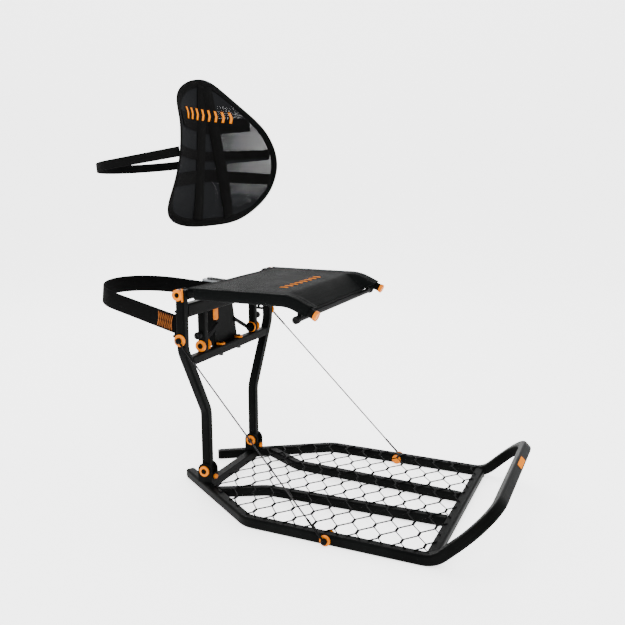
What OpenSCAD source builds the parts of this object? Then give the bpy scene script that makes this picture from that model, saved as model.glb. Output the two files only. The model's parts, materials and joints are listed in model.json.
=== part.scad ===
// Hang-on tree stand with flip-up seat, fold-up platform and strapped backrest.
// Units are millimetres, +Z is up, -Y faces away from the trunk.
// The origin is on the trunk axis, level with the platform hinge.

/* [Trunk] */

// trunk radius where the straps and the rear tips touch
trunk_r = 165; // [140:1:200]
// distance from the platform hinge line back to the trunk axis
trunk_y = 236; // [215:1:270]

/* [Posts] */

// side of the square post tube
post_w = 25; // [20:0.5:32]
// half spacing of the posts at the platform hinge
post_low_x = 134; // [110:1:160]
// half spacing of the posts at the seat hinge
post_top_x = 236; // [200:1:260]
// height where the posts start to splay
splay_low_z = 172; // [120:1:220]
// height where the posts turn upright again
splay_top_z = 365; // [300:1:380]
// height of the seat hinge axis
seat_z = 513; // [470:1:540]
// height of the cable studs on the posts
cable_top_z = 394; // [385:1:420]
// height of the lower cross tube
cross_low_z = 330; // [320:1:345]
// height of the top cross tube
cross_top_z = 469; // [455:1:475]
// half spacing of the two inner bars
inner_x = 140; // [120:1:160]

/* [Platform] */

// side of the square platform tube
rail_w = 27; // [22:0.5:32]
// half spacing of the side rails
rail_x = 280; // [250:1:300]
// drop of the platform tubes below the hinge axis
deck_drop = 48; // [42:1:60]
// distance from the hinge forward to the rail bend
bend_y = 206; // [180:1:230]
// distance from the hinge forward to the front crossbar
front_y = 682; // [600:1:720]
// slope of the footrest
foot_slope = 44.5; // [30:0.5:60]
// length of the footrest along its slope
foot_len = 175; // [150:1:200]
// thickness of the expanded deck sheet
mesh_t = 3; // [2:0.5:4]
// deck opening pitch across the platform
mesh_pitch_x = 100; // [80:1:120]
// deck opening pitch along the platform
mesh_pitch_y = 56; // [40:1:70]

/* [Seat] */

// radius of the seat rails
seat_rail_r = 11; // [9:0.5:13]
// outer radius of the fabric sleeve on a rail
sleeve_r = 15; // [13:0.5:18]
// distance from the seat hinge to the front bend
seat_bend_y = 308; // [260:1:312]
// distance from the seat hinge to the front end of the rails
seat_front_y = 373; // [340:1:390]
// downward bend of the rails at the front
seat_bend_angle = 24; // [10:1:30]

/* [Backrest] */

// half width of the backrest panel
back_half_w = 269; // [230:1:275]
// height where the panel is widest
back_wide_z = 805; // [795:1:815]
// height of the panel above its widest line
back_upper_h = 265; // [240:1:275]
// height of the panel below its widest line
back_lower_h = 133; // [120:1:140]
// how far the side edges wrap forward
back_wrap = 96; // [60:1:110]
// how far the foot of the panel stands forward of its top
back_tuck = 21; // [0:1:40]
// width of the backrest strap
web_w = 25; // [20:1:30]
// height of the backrest strap at the panel
back_strap_z = 870; // [850:1:880]
// drop of the backrest strap towards the back of the tree
back_strap_tilt = 6; // [0:0.5:8]

/* [Straps] */

// width of the trunk strap
strap_w = 50; // [40:1:55]
// thickness of the trunk strap
strap_t = 3; // [2:0.5:4]
// height of the trunk strap at the posts
strap_z = 430; // [420:1:440]
// rise of the trunk strap towards the back of the tree
strap_tilt = 7; // [0:0.5:10]

/* [Hidden] */

$fn = 48;

corner_r = 5;                               // outer corner radius of the square tubes
deck_z = -deck_drop;                        // centre plane of the platform tubes
deck_top = deck_z + rail_w / 2;             // top faces of the platform tubes
post_face = post_top_x + post_w / 2;        // outer face of a post at the top
rail_face = rail_x + rail_w / 2;            // outer face of a side rail
bore_gap = 0.05;                            // running clearance of pins in bores
pivot_r = 5;                                // radius of the pivot pins
cheek_t = 3;                                // thickness of the seat cheeks
bracket_t = 4;                              // thickness of the hinge bracket cheeks
side_gap = 0.5;                             // play between a cheek and a post
bend_lap = 0.8;                             // how far a bend runs into its straights
draw_in = 0.15;                             // how much a tube wall draws in along a bend

// platform outline
tip_y = 92;
diag_slope = 68 / 102;
diag_x0 = rail_x - bend_y * diag_slope;     // half spacing of the diagonals at the hinge
tip_x = diag_x0 - tip_y * diag_slope;
foot_vertex_y = front_y + 9;
foot_split_y = front_y - 24;
bar_bend_y = 172;
bar_bend_x = 98;
bar_front_x = 77;
bar_start_y = 48;

// seat
seat_rail_y0 = 18;
seat_vertex_z = seat_z + 3;
seat_end_z = seat_vertex_z - (seat_front_y - seat_bend_y) * tan(seat_bend_angle);
crossbar_y = seat_front_y - 38;
crossbar_r = 7;
crossbar_z = seat_vertex_z - (crossbar_y - seat_bend_y) * tan(seat_bend_angle)
  - sleeve_r / cos(seat_bend_angle) - crossbar_r - 4.2;

// cables
stud_y = 427;                               // distance from the hinge to the rail stud
washer_t = 5;
eye_t = 7.4;
eye_gap = 0.5;
cable_r = 2;
sleeve_cable_r = 2.9;
eye_top_x = post_face + washer_t + eye_gap + eye_t / 2;
eye_low_x = rail_face + washer_t + eye_gap + eye_t / 2;

// backrest
panel_t = 2.4;
rim_w = 22;                                 // width of the bound rim
rim_t = 6.4;
wrap_peak = 0.35;                           // share of the height where the sides wrap most
back_rings = 7;                             // rings of facets from the middle of the panel out
back_sides = 72;                            // facets round the panel

// ---------- shared shapes ----------

module at_trunk() {
  translate([0, -trunk_y, 0]) children();
}

module mirror_x() {
  children();
  mirror([1, 0, 0]) children();
}

module rounded_box(w, h, r) {
  hull_w = w / 2 - r;
  hull_h = h / 2 - r;
  union() {
    square([w, h - 2 * r], center = true);
    square([w - 2 * r, h], center = true);
    for (sx = [-1, 1], sy = [-1, 1]) translate([sx * hull_w, sy * hull_h]) circle(r = r, $fn = 24);
  }
}

function heading(a, b) = atan2(b[1] - a[1], b[0] - a[0]);
function turn(a, b, c) =
  let (t = heading(b, c) - heading(a, b)) t > 180 ? t - 360 : t < -180 ? t + 360 : t;
function cut_back(pts, i, r) =
  i == 0 || i == len(pts) - 1 ? 0 : r * tan(abs(turn(pts[i - 1], pts[i], pts[i + 1])) / 2);

// a bar along a flat path in the XY plane: the first child is the section of the
// straights, the second the slightly drawn-in section of the bends
module bent_bar(pts, r) {
  for (i = [0 : len(pts) - 2]) {
    a = pts[i];
    b = pts[i + 1];
    start = cut_back(pts, i, r);
    run = norm(b - a) - start - cut_back(pts, i + 1, r);
    if (run > 0.01) translate([a[0], a[1], 0]) rotate([0, 0, heading(a, b)])
      translate([start, 0, 0]) rotate([90, 0, 90]) linear_extrude(run) children(0);
  }
  if (len(pts) > 2) for (i = [1 : len(pts) - 2]) {
    way = heading(pts[i - 1], pts[i]);
    t = turn(pts[i - 1], pts[i], pts[i + 1]);
    back = cut_back(pts, i, r);
    side = t > 0 ? 1 : -1;
    lap = bend_lap / r * 180 / PI;
    centre = pts[i] - back * [cos(way), sin(way)] + side * r * [-sin(way), cos(way)];
    translate([centre[0], centre[1], 0]) rotate([0, 0, (t > 0 ? way - 90 : way + 90 + t) - lap])
      rotate_extrude(angle = abs(t) + 2 * lap, $fn = 96) translate([r, 0]) children(1);
  }
}

// flat paths placed upright: local X runs along Y or X, local Y runs up
module in_yz(x) { translate([x, 0, 0]) rotate([90, 0, 90]) children(); }
module in_xz(y) { translate([0, y, 0]) rotate([90, 0, 0]) children(); }

// a cylinder along X, starting at x0 and running towards +X
module rod_x(x0, length, r, y, z) {
  translate([x0, y, z]) rotate([0, 90, 0]) cylinder(h = length, r = r);
}

module ring_x(x0, length, r_out, r_in, y, z) {
  difference() {
    rod_x(x0, length, r_out, y, z);
    rod_x(x0 - 1, length + 2, r_in, y, z);
  }
}

// ---------- frame ----------

module post_right_shape() {
  difference() {
    in_xz(0) bent_bar([
      [post_low_x, -16], [post_low_x, splay_low_z], [post_top_x, splay_top_z],
      [post_top_x, seat_z + 12]
    ], 60) {
      rounded_box(post_w, post_w, corner_r);
      rounded_box(post_w - 2 * draw_in, post_w - 2 * draw_in, corner_r - draw_in);
    }
    rod_x(post_low_x - post_w, 2 * post_w, pivot_r + bore_gap, 0, 0);
    rod_x(post_top_x - post_w, 2 * post_w, pivot_r, 0, seat_z);
  }
}

module post_left() { color([0.10, 0.10, 0.11]) at_trunk() mirror([1, 0, 0]) post_right_shape(); }
module post_right() { color([0.10, 0.10, 0.11]) at_trunk() post_right_shape(); }

// end half length where a level tube meets the inside of the sloped posts
splay_tan = (post_top_x - post_low_x) / (splay_top_z - splay_low_z);
low_half = post_low_x + (cross_low_z - splay_low_z) * splay_tan;

module lower_cross_tube() {
  cut = post_w / 2 / cos(atan(splay_tan));
  color([0.10, 0.10, 0.11]) at_trunk() difference() {
    translate([-low_half, 0, cross_low_z]) rotate([90, 0, 90])
      linear_extrude(2 * low_half) rounded_box(post_w, post_w, corner_r);
    for (s = [-1, 1]) in_xz(50) linear_extrude(100) polygon([
      [s * (low_half - cut - 30 * splay_tan), cross_low_z - 30],
      [s * (low_half - cut + 30 * splay_tan), cross_low_z + 30],
      [s * (low_half + 60), cross_low_z + 30],
      [s * (low_half + 60), cross_low_z - 30]
    ]);
  }
}

module top_cross_tube() {
  half = post_top_x - post_w / 2;
  color([0.10, 0.10, 0.11]) at_trunk() translate([-half, 0, cross_top_z]) rotate([90, 0, 90])
    linear_extrude(2 * half) rounded_box(post_w, 36, corner_r);
}

module inner_bars() {
  z0 = cross_low_z + post_w / 2;
  z1 = cross_top_z - 18;
  color([0.10, 0.10, 0.11]) at_trunk() mirror_x() translate([inner_x, 0, z0])
    linear_extrude(z1 - z0) rounded_box(22, 22, corner_r);
}

// plate behind the two cross tubes with toothed wings that bite the trunk
module tree_bracket() {
  bite_y = trunk_y - trunk_r - 2;
  wing_x = 34;
  plate_y = post_w / 2;
  color([0.12, 0.12, 0.13]) at_trunk() union() {
    in_xz(plate_y + 4) linear_extrude(4) polygon([
      [-70, cross_low_z - 10], [70, cross_low_z - 10], [34, cross_top_z + 12],
      [-34, cross_top_z + 12]
    ]);
    mirror_x() difference() {
      translate([wing_x - 2, plate_y + 4, cross_low_z]) cube([4, bite_y - plate_y - 4, 130]);
      for (k = [0 : 5]) translate([wing_x - 5, bite_y + 1, cross_low_z + 15 + 20 * k])
        rotate([0, 90, 0]) cylinder(h = 10, r = 8);
    }
  }
}

// flat arms from the inner bar bolts back to the bracket plate
module brace_arms() {
  face = inner_x - 11 - washer_t;
  color([0.10, 0.10, 0.11]) at_trunk() mirror_x() union() {
    in_xz(post_w / 2) linear_extrude(4) polygon([
      [face - 1, 353], [face - 1, 365], [46, 404], [46, 392]
    ]);
    ring_x(face - 3, 3, 14, 6, 0, 359);
  }
}

// orange bushings: cable studs, inner bar bolts and the two on the lower cross tube
module frame_bushings() {
  color([0.95, 0.45, 0.05]) at_trunk() {
    mirror_x() ring_x(post_face, washer_t, 16, 6, 0, cable_top_z);
    mirror_x() union() {
      ring_x(inner_x + 11, washer_t, 16, 6, 0, 359);
      ring_x(inner_x - 11 - washer_t, washer_t, 16, 6, 0, 359);
    }
    for (s = [-1, 1]) translate([s * 50, 0, cross_low_z + post_w / 2]) difference() {
      cylinder(h = 5, r = 12);
      translate([0, 0, -1]) cylinder(h = 7, r = 5);
    }
  }
}

module frame_bolts() {
  color([0.07, 0.07, 0.07]) at_trunk() {
    mirror_x() rod_x(post_face, 4.5, 6, 0, cable_top_z);
    mirror_x() union() {
      rod_x(inner_x + 11, washer_t + 1, 6, 0, 359);
      rod_x(inner_x + 11 + washer_t, 4, 7.5, 0, 359);
      rod_x(inner_x - 20 - washer_t, washer_t + 9, 6, 0, 359);
      rod_x(inner_x - 18 - washer_t, 4, 7.5, 0, 359);
    }
    for (s = [-1, 1]) {
      translate([s * 50, 0, cross_low_z + post_w / 2]) cylinder(h = 5, r = 5);
      translate([s * 50, 0, cross_low_z + post_w / 2 + 5]) cylinder(h = 4, r = 7, $fn = 6);
      translate([s * 50, 0, cross_low_z - post_w / 2 - 7]) cylinder(h = 7, r = 7, $fn = 6);
    }
    // seat hinge bolts fixed in the posts
    mirror_x() union() {
      rod_x(post_top_x - post_w / 2 - 12, post_w + 24, pivot_r, 0, seat_z);
      rod_x(post_top_x - post_w / 2 - 12, 6, 8, 0, seat_z);
    }
  }
}

module lock_knobs() {
  color([0.08, 0.08, 0.08]) at_trunk() mirror_x() union() {
    rod_x(inner_x + 11, 6, 5, 0, 390);
    rod_x(inner_x + 17, 14, 10, 0, 390);
  }
}

module release_tab() {
  color([0.98, 0.55, 0.06]) at_trunk() translate([-66, post_w / 2 - 6, 414]) rotate([90, 0, 0])
    translate([8, 18, -6]) linear_extrude(6) rounded_box(16, 36, 5);
}

// ---------- trunk strap ----------

// angle round the trunk at which a band from a side point meets it
function wrap_reach(side_x, side_y) =
  atan2(side_x, trunk_y - side_y) + acos(trunk_r / norm([side_x, trunk_y - side_y]));

// band that leaves two side points and wraps the back of the trunk
module wrap_band(side_x, side_y, t, w) {
  reach = wrap_reach(side_x, side_y);
  far = 3 * trunk_r;
  foot = [trunk_r * sin(reach), trunk_y - trunk_r * cos(reach)];
  way = [side_x, side_y] - foot;
  lap = -1.5 * way / norm(way);
  out = [sin(reach), -cos(reach)];
  start = foot + lap + 0.1 * out;
  union() {
    linear_extrude(w) difference() {
      translate([0, trunk_y]) circle(r = trunk_r + t, $fn = 180);
      translate([0, trunk_y]) circle(r = trunk_r, $fn = 180);
      translate([0, trunk_y]) polygon([
        [0, 0], far * [-sin(reach), -cos(reach)], [-far, -far], [far, -far],
        far * [sin(reach), -cos(reach)]
      ]);
    }
    mirror_x() translate([0, 0, 0.1]) linear_extrude(w - 0.2) polygon([
      start, foot + way + 0.1 * out, foot + way + (t - 0.1) * out, start + (t - 0.2) * out
    ]);
  }
}

module strap_slab() {
  translate([0, 0, strap_z]) rotate([strap_tilt, 0, 0]) translate([0, 0, -strap_w / 2])
    children();
}

strap_x = post_top_x - 4;                   // strap ends beside the posts
strap_y = post_w / 2 + 12.5;
strap_reach = wrap_reach(strap_x, strap_y);
strap_out = [sin(strap_reach), -cos(strap_reach)];
hook_r = 4;
hook_at = [strap_x, strap_y] - (hook_r + 0.3) * strap_out;

module trunk_strap() {
  color([0.09, 0.09, 0.09]) at_trunk() strap_slab() union() {
    wrap_band(strap_x, strap_y, strap_t, strap_w);
    mirror_x() translate([hook_at[0], hook_at[1], 0.3]) linear_extrude(strap_w - 0.6) difference() {
      circle(r = hook_r + 0.3 + 2.4);
      circle(r = hook_r + 0.3);
    }
  }
}

// doubled strap end with its stitched box beside the left post
module strap_stitching() {
  out = [-strap_out[0], strap_out[1]];
  along = [-cos(strap_reach), -sin(strap_reach)];
  near = [-strap_x, strap_y] + strap_t * out;
  color([0.40, 0.20, 0.10]) at_trunk() strap_slab() translate([0, 0, 3])
    linear_extrude(strap_w - 6) polygon([
      near - 6 * along, near - 66 * along, near - 66 * along + 1.6 * out, near - 6 * along + 1.6 * out
    ]);
}

// upright pins welded behind the posts that carry the looped strap ends
module strap_hooks() {
  reach = 12;                               // how far a pin stands out past the strap edges
  color([0.10, 0.10, 0.11]) at_trunk() mirror_x() union() {
    strap_slab() translate([hook_at[0], hook_at[1], -reach])
      cylinder(h = strap_w + 2 * reach, r = hook_r);
    for (s = [-1, 1]) {
      z = s * (strap_w / 2 + reach - 4);
      y = hook_at[1] * cos(strap_tilt) - z * sin(strap_tilt);
      translate([hook_at[0] - 5, post_w / 2, strap_z + z - 1]) cube([10, y + 5.5 - post_w / 2, 6]);
    }
  }
}

// ratchet sits on the right-hand run of the strap
module on_right_run(along) {
  foot = [trunk_r * sin(strap_reach), trunk_y - trunk_r * cos(strap_reach)];
  strap_slab() translate([foot[0], foot[1], strap_w / 2])
    rotate([0, 0, strap_reach - 90]) translate([strap_t, -along, 0]) children();
}

module ratchet_frame() {
  color([0.30, 0.31, 0.33]) at_trunk() on_right_run(120) difference() {
    union() {
      translate([0, -45, -30]) cube([3, 90, 60]);
      for (s = [-1, 1]) translate([0, -45, s * 30 - 1.5]) cube([26, 90, 3]);
    }
    translate([14, 22, -40]) cylinder(h = 80, r = 6 + bore_gap);
  }
}

module ratchet_spool() {
  color([0.55, 0.56, 0.58]) at_trunk() on_right_run(120) translate([14, 22, 0]) union() {
    translate([0, 0, -40]) cylinder(h = 80, r = 6);
    for (s = [-1, 1]) translate([0, 0, s * 24 - 2]) cylinder(h = 4, r = 10, $fn = 12);
  }
}

module ratchet_handle() {
  color([0.12, 0.12, 0.13]) at_trunk() on_right_run(120) translate([14, 22, 0]) union() {
    for (s = [-1, 1]) translate([-7, -84, s * 35 - 1.5]) difference() {
      union() {
        cube([18, 84, 3]);
        translate([7, 84, 0]) cylinder(h = 3, r = 12);
      }
      translate([7, 84, -1]) cylinder(h = 5, r = 6 + bore_gap);
    }
    translate([-3, -83.5, -35.5]) cube([13, 13, 71]);
  }
}

// ---------- platform ----------

module tube_section(inset = 0) {
  rounded_box(rail_w - 2 * inset, rail_w - 2 * inset, 6 - inset);
}

module side_rail_shape() {
  translate([0, 0, deck_z]) bent_bar([
    [tip_x, tip_y], [rail_x, -bend_y], [rail_x, -foot_split_y]
  ], 60) {
    tube_section();
    tube_section(draw_in);
  }
}

module side_rail_left() {
  color([0.10, 0.10, 0.11]) at_trunk() mirror([1, 0, 0]) side_rail_shape();
}
module side_rail_right() { color([0.10, 0.10, 0.11]) at_trunk() side_rail_shape(); }

module footrest() {
  up = [cos(180 - foot_slope), sin(180 - foot_slope)];
  first = 70 * tan(foot_slope / 2);
  color([0.10, 0.10, 0.11]) at_trunk() union() {
    for (s = [-1, 1]) in_yz(s * rail_x) bent_bar([
      [-foot_split_y, deck_z], [-foot_vertex_y, deck_z],
      [-foot_vertex_y + first * up[0], deck_z + first * up[1]]
    ], 70) {
      tube_section();
      tube_section(draw_in);
    }
    translate([0, -foot_vertex_y, deck_z]) rotate([180 - foot_slope, 0, 0]) bent_bar([
      [-rail_x, first], [-rail_x, foot_len], [rail_x, foot_len], [rail_x, first]
    ], 100) {
      tube_section();
      tube_section(draw_in);
    }
  }
}

// level crossbar between the two diagonals, trimmed to their inner faces
module rear_crossbar() {
  half = diag_x0 - rail_w / 2 * sqrt(1 + diag_slope * diag_slope);
  h = rail_w - 3;
  color([0.10, 0.10, 0.11]) at_trunk() translate([0, 0, deck_z - h / 2]) linear_extrude(h)
    polygon([
      [-half - (12 * diag_slope) + 0.2, -12], [half + (12 * diag_slope) - 0.2, -12],
      [half - (12 * diag_slope) - 0.2, 12], [-half + (12 * diag_slope) + 0.2, 12]
    ]);
}

module front_crossbar() {
  half = rail_x - rail_w / 2;
  color([0.10, 0.10, 0.11]) at_trunk() translate([-half, -front_y, deck_z + 1]) rotate([90, 0, 90])
    linear_extrude(2 * half) rounded_box(rail_w, rail_w - 2, 6);
}

module centre_bar_shape() {
  start_x = diag_x0 + bar_start_y * diag_slope;
  color([0.10, 0.10, 0.11]) difference() {
    translate([0, 0, deck_z + 1]) bent_bar([
      [start_x, -bar_start_y + 18], [bar_bend_x, -bar_bend_y],
      [bar_front_x, -front_y + rail_w / 2]
    ], 60) {
      tube_section(1);
      tube_section(1 + draw_in);
    }
    // trimmed where the bar meets the diagonal
    translate([0, 0, deck_z - 40]) linear_extrude(80) polygon([
      [diag_x0 - 60 * diag_slope - 16.4, 60], [diag_x0 + 160 * diag_slope - 16.4, -160],
      [diag_x0 + 160 * diag_slope + 90, -160], [diag_x0 + 90, 60]
    ]);
    translate([-rail_x, -front_y - rail_w / 2, deck_z - 40]) cube([2 * rail_x, rail_w, 80]);
  }
}

module centre_bar_left() { at_trunk() mirror([1, 0, 0]) centre_bar_shape(); }
module centre_bar_right() { at_trunk() centre_bar_shape(); }

// expanded sheet: staggered six-sided openings in a flat panel
module deck_mesh() {
  bond = 9;                                 // half length of the joined strands
  strand = 3.4;                             // width of one strand
  cell_x = mesh_pitch_x / 2 - bond;
  cell_y = mesh_pitch_y / 2;
  slant = atan2(cell_y, cell_x - bond);
  hole_y = cell_y - strand;
  hole_x = cell_x - strand / 2 / sin(slant);
  flat = hole_x - hole_y / tan(slant);
  rows = ceil(front_y / mesh_pitch_y * 2);
  corner_x = rail_x - rail_w / 2 - 0.5;     // clears the rails where they bend up
  color([0.13, 0.13, 0.14]) at_trunk() translate([0, 0, deck_top]) linear_extrude(mesh_t)
    difference() {
      polygon([
        [-diag_x0 - 30 * diag_slope, -30], [diag_x0 + 30 * diag_slope, -30],
        [rail_x, -bend_y], [rail_x, -foot_split_y], [corner_x, -foot_split_y],
        [corner_x, -front_y], [-corner_x, -front_y], [-corner_x, -foot_split_y],
        [-rail_x, -foot_split_y], [-rail_x, -bend_y]
      ]);
      for (j = [0 : rows], i = [-3 : 3]) {
        cx = i * mesh_pitch_x + (j % 2) * mesh_pitch_x / 2;
        cy = -44 - j * mesh_pitch_y / 2;
        if (-cy + hole_y < front_y - 2) translate([cx, cy]) polygon([
          [-hole_x, 0], [-flat, hole_y], [flat, hole_y],
          [hole_x, 0], [flat, -hole_y], [-flat, -hole_y]
        ]);
      }
    }
}

// clevis on each diagonal that holds the foot of a post
module hinge_brackets() {
  in_half = post_w / 2 + side_gap;
  depth = 44;
  color([0.12, 0.12, 0.13]) at_trunk() mirror_x() difference() {
    union() {
      translate([post_low_x - in_half - bracket_t, -depth / 2, deck_top])
        cube([2 * (in_half + bracket_t), depth, 4]);
      translate([post_low_x - in_half - 1, -depth / 2 + 0.2, deck_top + 1])
        cube([2 * in_half + 2, 4, 25.5]);
      for (s = [-1, 1]) translate([
        post_low_x + s * (in_half + bracket_t / 2) - bracket_t / 2, 0, 0
      ]) union() {
        translate([0, -depth / 2, deck_top]) cube([bracket_t, depth, -deck_top]);
        rotate([0, 90, 0]) cylinder(h = bracket_t, r = depth / 2);
      }
    }
    rod_x(post_low_x - 40, 80, pivot_r, 0, 0);
  }
}

module hinge_pins() {
  half = post_w / 2 + side_gap + bracket_t;
  color([0.07, 0.07, 0.07]) at_trunk() mirror_x() union() {
    rod_x(post_low_x - half - washer_t, 2 * (half + washer_t), pivot_r, 0, 0);
    rod_x(post_low_x + half + washer_t, 4, 7.5, 0, 0);
    rod_x(post_low_x - half - washer_t - 4, 4, 7.5, 0, 0);
  }
}

module hinge_bushings() {
  half = post_w / 2 + side_gap + bracket_t;
  color([0.95, 0.45, 0.05]) at_trunk() mirror_x() union() {
    ring_x(post_low_x + half, washer_t, 15, pivot_r, 0, 0);
    ring_x(post_low_x - half - washer_t, washer_t, 15, pivot_r, 0, 0);
  }
}

// small stops ahead of the post feet
module deck_bumpers() {
  color([0.95, 0.45, 0.05]) at_trunk() mirror_x()
    translate([post_low_x, -21.8, deck_top + 17]) rotate([90, 0, 0]) cylinder(h = 8, r = 7);
}

module cable_pins() {
  color([0.95, 0.45, 0.05]) at_trunk() mirror_x() union() {
    rod_x(rail_face, washer_t, rail_w / 2, -stud_y, deck_z);
    rod_x(rail_x - rail_w / 2 - washer_t, washer_t, rail_w / 2, -stud_y, deck_z);
  }
}

module tip_plugs() {
  way = atan2(1, -diag_slope);
  color([0.08, 0.08, 0.08]) at_trunk() mirror_x() translate([tip_x, tip_y, deck_z])
    rotate([0, 0, way]) rotate([90, 0, 90]) linear_extrude(6) rounded_box(rail_w - 2, rail_w - 2, 5);
}

module footrest_badge() {
  face = rail_w / 2;
  color([0.95, 0.55, 0.10]) at_trunk() translate([0, -foot_vertex_y, deck_z])
    rotate([180 - foot_slope, 0, 0]) translate([60, foot_len + face, 0])
    rotate([-90, 0, 0]) linear_extrude(1) rounded_box(62, 15, 4);
}

// ---------- cables ----------

cable_drop = cable_top_z - deck_z;
cable_run = stud_y;
cable_side = eye_low_x - eye_top_x;
cable_len = norm([cable_side, cable_run, cable_drop]);
cable_yaw = atan2(-cable_run, cable_side);
cable_dip = acos(-cable_drop / cable_len);

module along_cable() {
  translate([eye_top_x, 0, cable_top_z]) rotate([0, cable_dip, cable_yaw]) children();
}

module cable_shape() {
  color([0.25, 0.25, 0.26]) along_cable() translate([0, 0, 68])
    cylinder(h = cable_len - 136, r = cable_r, $fn = 24);
}

// crimped sleeves, flat eyes and their screw heads at both ends
module cable_ends_shape() {
  color([0.08, 0.08, 0.08]) union() {
    along_cable() translate([0, 0, 4]) cylinder(h = 64, r = sleeve_cable_r, $fn = 24);
    along_cable() translate([0, 0, cable_len - 68]) cylinder(h = 64, r = sleeve_cable_r, $fn = 24);
    rod_x(eye_top_x - eye_t / 2, eye_t, 8, 0, cable_top_z);
    rod_x(eye_low_x - eye_t / 2, eye_t, 8, -stud_y, deck_z);
    rod_x(eye_top_x + eye_t / 2 - 0.5, 3, 5.5, 0, cable_top_z);
    rod_x(eye_low_x + eye_t / 2 - 0.5, 3, 5.5, -stud_y, deck_z);
  }
}

module cable_left() { at_trunk() mirror([1, 0, 0]) cable_shape(); }
module cable_right() { at_trunk() cable_shape(); }
module cable_left_ends() { at_trunk() mirror([1, 0, 0]) cable_ends_shape(); }
module cable_right_ends() { at_trunk() cable_ends_shape(); }

// ---------- seat ----------

seat_path = [
  [-seat_rail_y0, seat_vertex_z], [-seat_bend_y, seat_vertex_z], [-seat_front_y, seat_end_z]
];

module seat_rail_shape() {
  in_yz(post_top_x) bent_bar(seat_path, 110) {
    circle(r = seat_rail_r);
    circle(r = seat_rail_r - draw_in);
  }
}

module seat_rail_left() { color([0.10, 0.10, 0.11]) at_trunk() mirror([1, 0, 0]) seat_rail_shape(); }
module seat_rail_right() { color([0.10, 0.10, 0.11]) at_trunk() seat_rail_shape(); }

module seat_rear_tube() {
  half = post_top_x - seat_rail_r;
  color([0.10, 0.10, 0.11]) at_trunk() rod_x(-half, 2 * half, 8, -seat_rail_y0 - 16, seat_vertex_z);
}

module seat_crossbar() {
  color([0.16, 0.17, 0.16]) at_trunk() difference() {
    union() {
      rod_x(-post_top_x - 12, 2 * post_top_x + 24, crossbar_r, -crossbar_y, crossbar_z);
      for (s = [-1, 1]) translate([s * post_top_x - 5, -crossbar_y - 5, crossbar_z])
        cube([10, 10, 17]);
    }
    for (s = [-1, 1]) translate([s * post_top_x, -seat_front_y, seat_end_z])
      rotate([seat_bend_angle - 90, 0, 0]) cylinder(h = 60, r = seat_rail_r + 0.05);
  }
}

module crossbar_caps() {
  color([0.07, 0.07, 0.07]) at_trunk() mirror_x()
    rod_x(post_top_x + 12, 14, 9.5, -crossbar_y, crossbar_z);
}

module seat_end_caps() {
  color([0.95, 0.50, 0.06]) at_trunk() mirror_x()
    translate([post_top_x, -seat_front_y, seat_end_z]) rotate([90 + seat_bend_angle, 0, 0])
    cylinder(h = 9, r = seat_rail_r + 1.5);
}

// plates on both sides of each post top, joined to the rail
module seat_cheeks() {
  in_half = post_w / 2 + side_gap;
  color([0.11, 0.11, 0.12]) at_trunk() mirror_x() difference() {
    union() {
      for (s = [-1, 1]) translate([
        post_top_x + s * (in_half + cheek_t / 2) - cheek_t / 2, 0, seat_z
      ]) union() {
        rotate([0, 90, 0]) cylinder(h = cheek_t, r = 15);
        translate([0, -seat_rail_y0 - 4, -12]) cube([cheek_t, seat_rail_y0 + 4, 26]);
      }
      translate([post_top_x - in_half - cheek_t, -seat_rail_y0 - 4, seat_z - 12])
        cube([2 * (in_half + cheek_t), 4, 26]);
    }
    rod_x(post_top_x - 40, 80, pivot_r + bore_gap, 0, seat_z);
    in_yz(post_top_x) translate([-seat_rail_y0 - 60, seat_vertex_z, 0]) rotate([0, 90, 0])
      cylinder(h = 60, r = seat_rail_r + 0.1);
  }
}

module seat_pivot_caps() {
  face = post_top_x + post_w / 2 + side_gap + cheek_t;
  color([0.95, 0.50, 0.06]) at_trunk() mirror_x() union() {
    ring_x(face, 6, 15, pivot_r + 1.5, 0, seat_z);
    difference() {
      translate([face, -16, seat_z - 17]) cube([3, 5, 34]);
      rod_x(face - 1, 8, pivot_r + 1.5, 0, seat_z);
    }
  }
}

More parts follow.
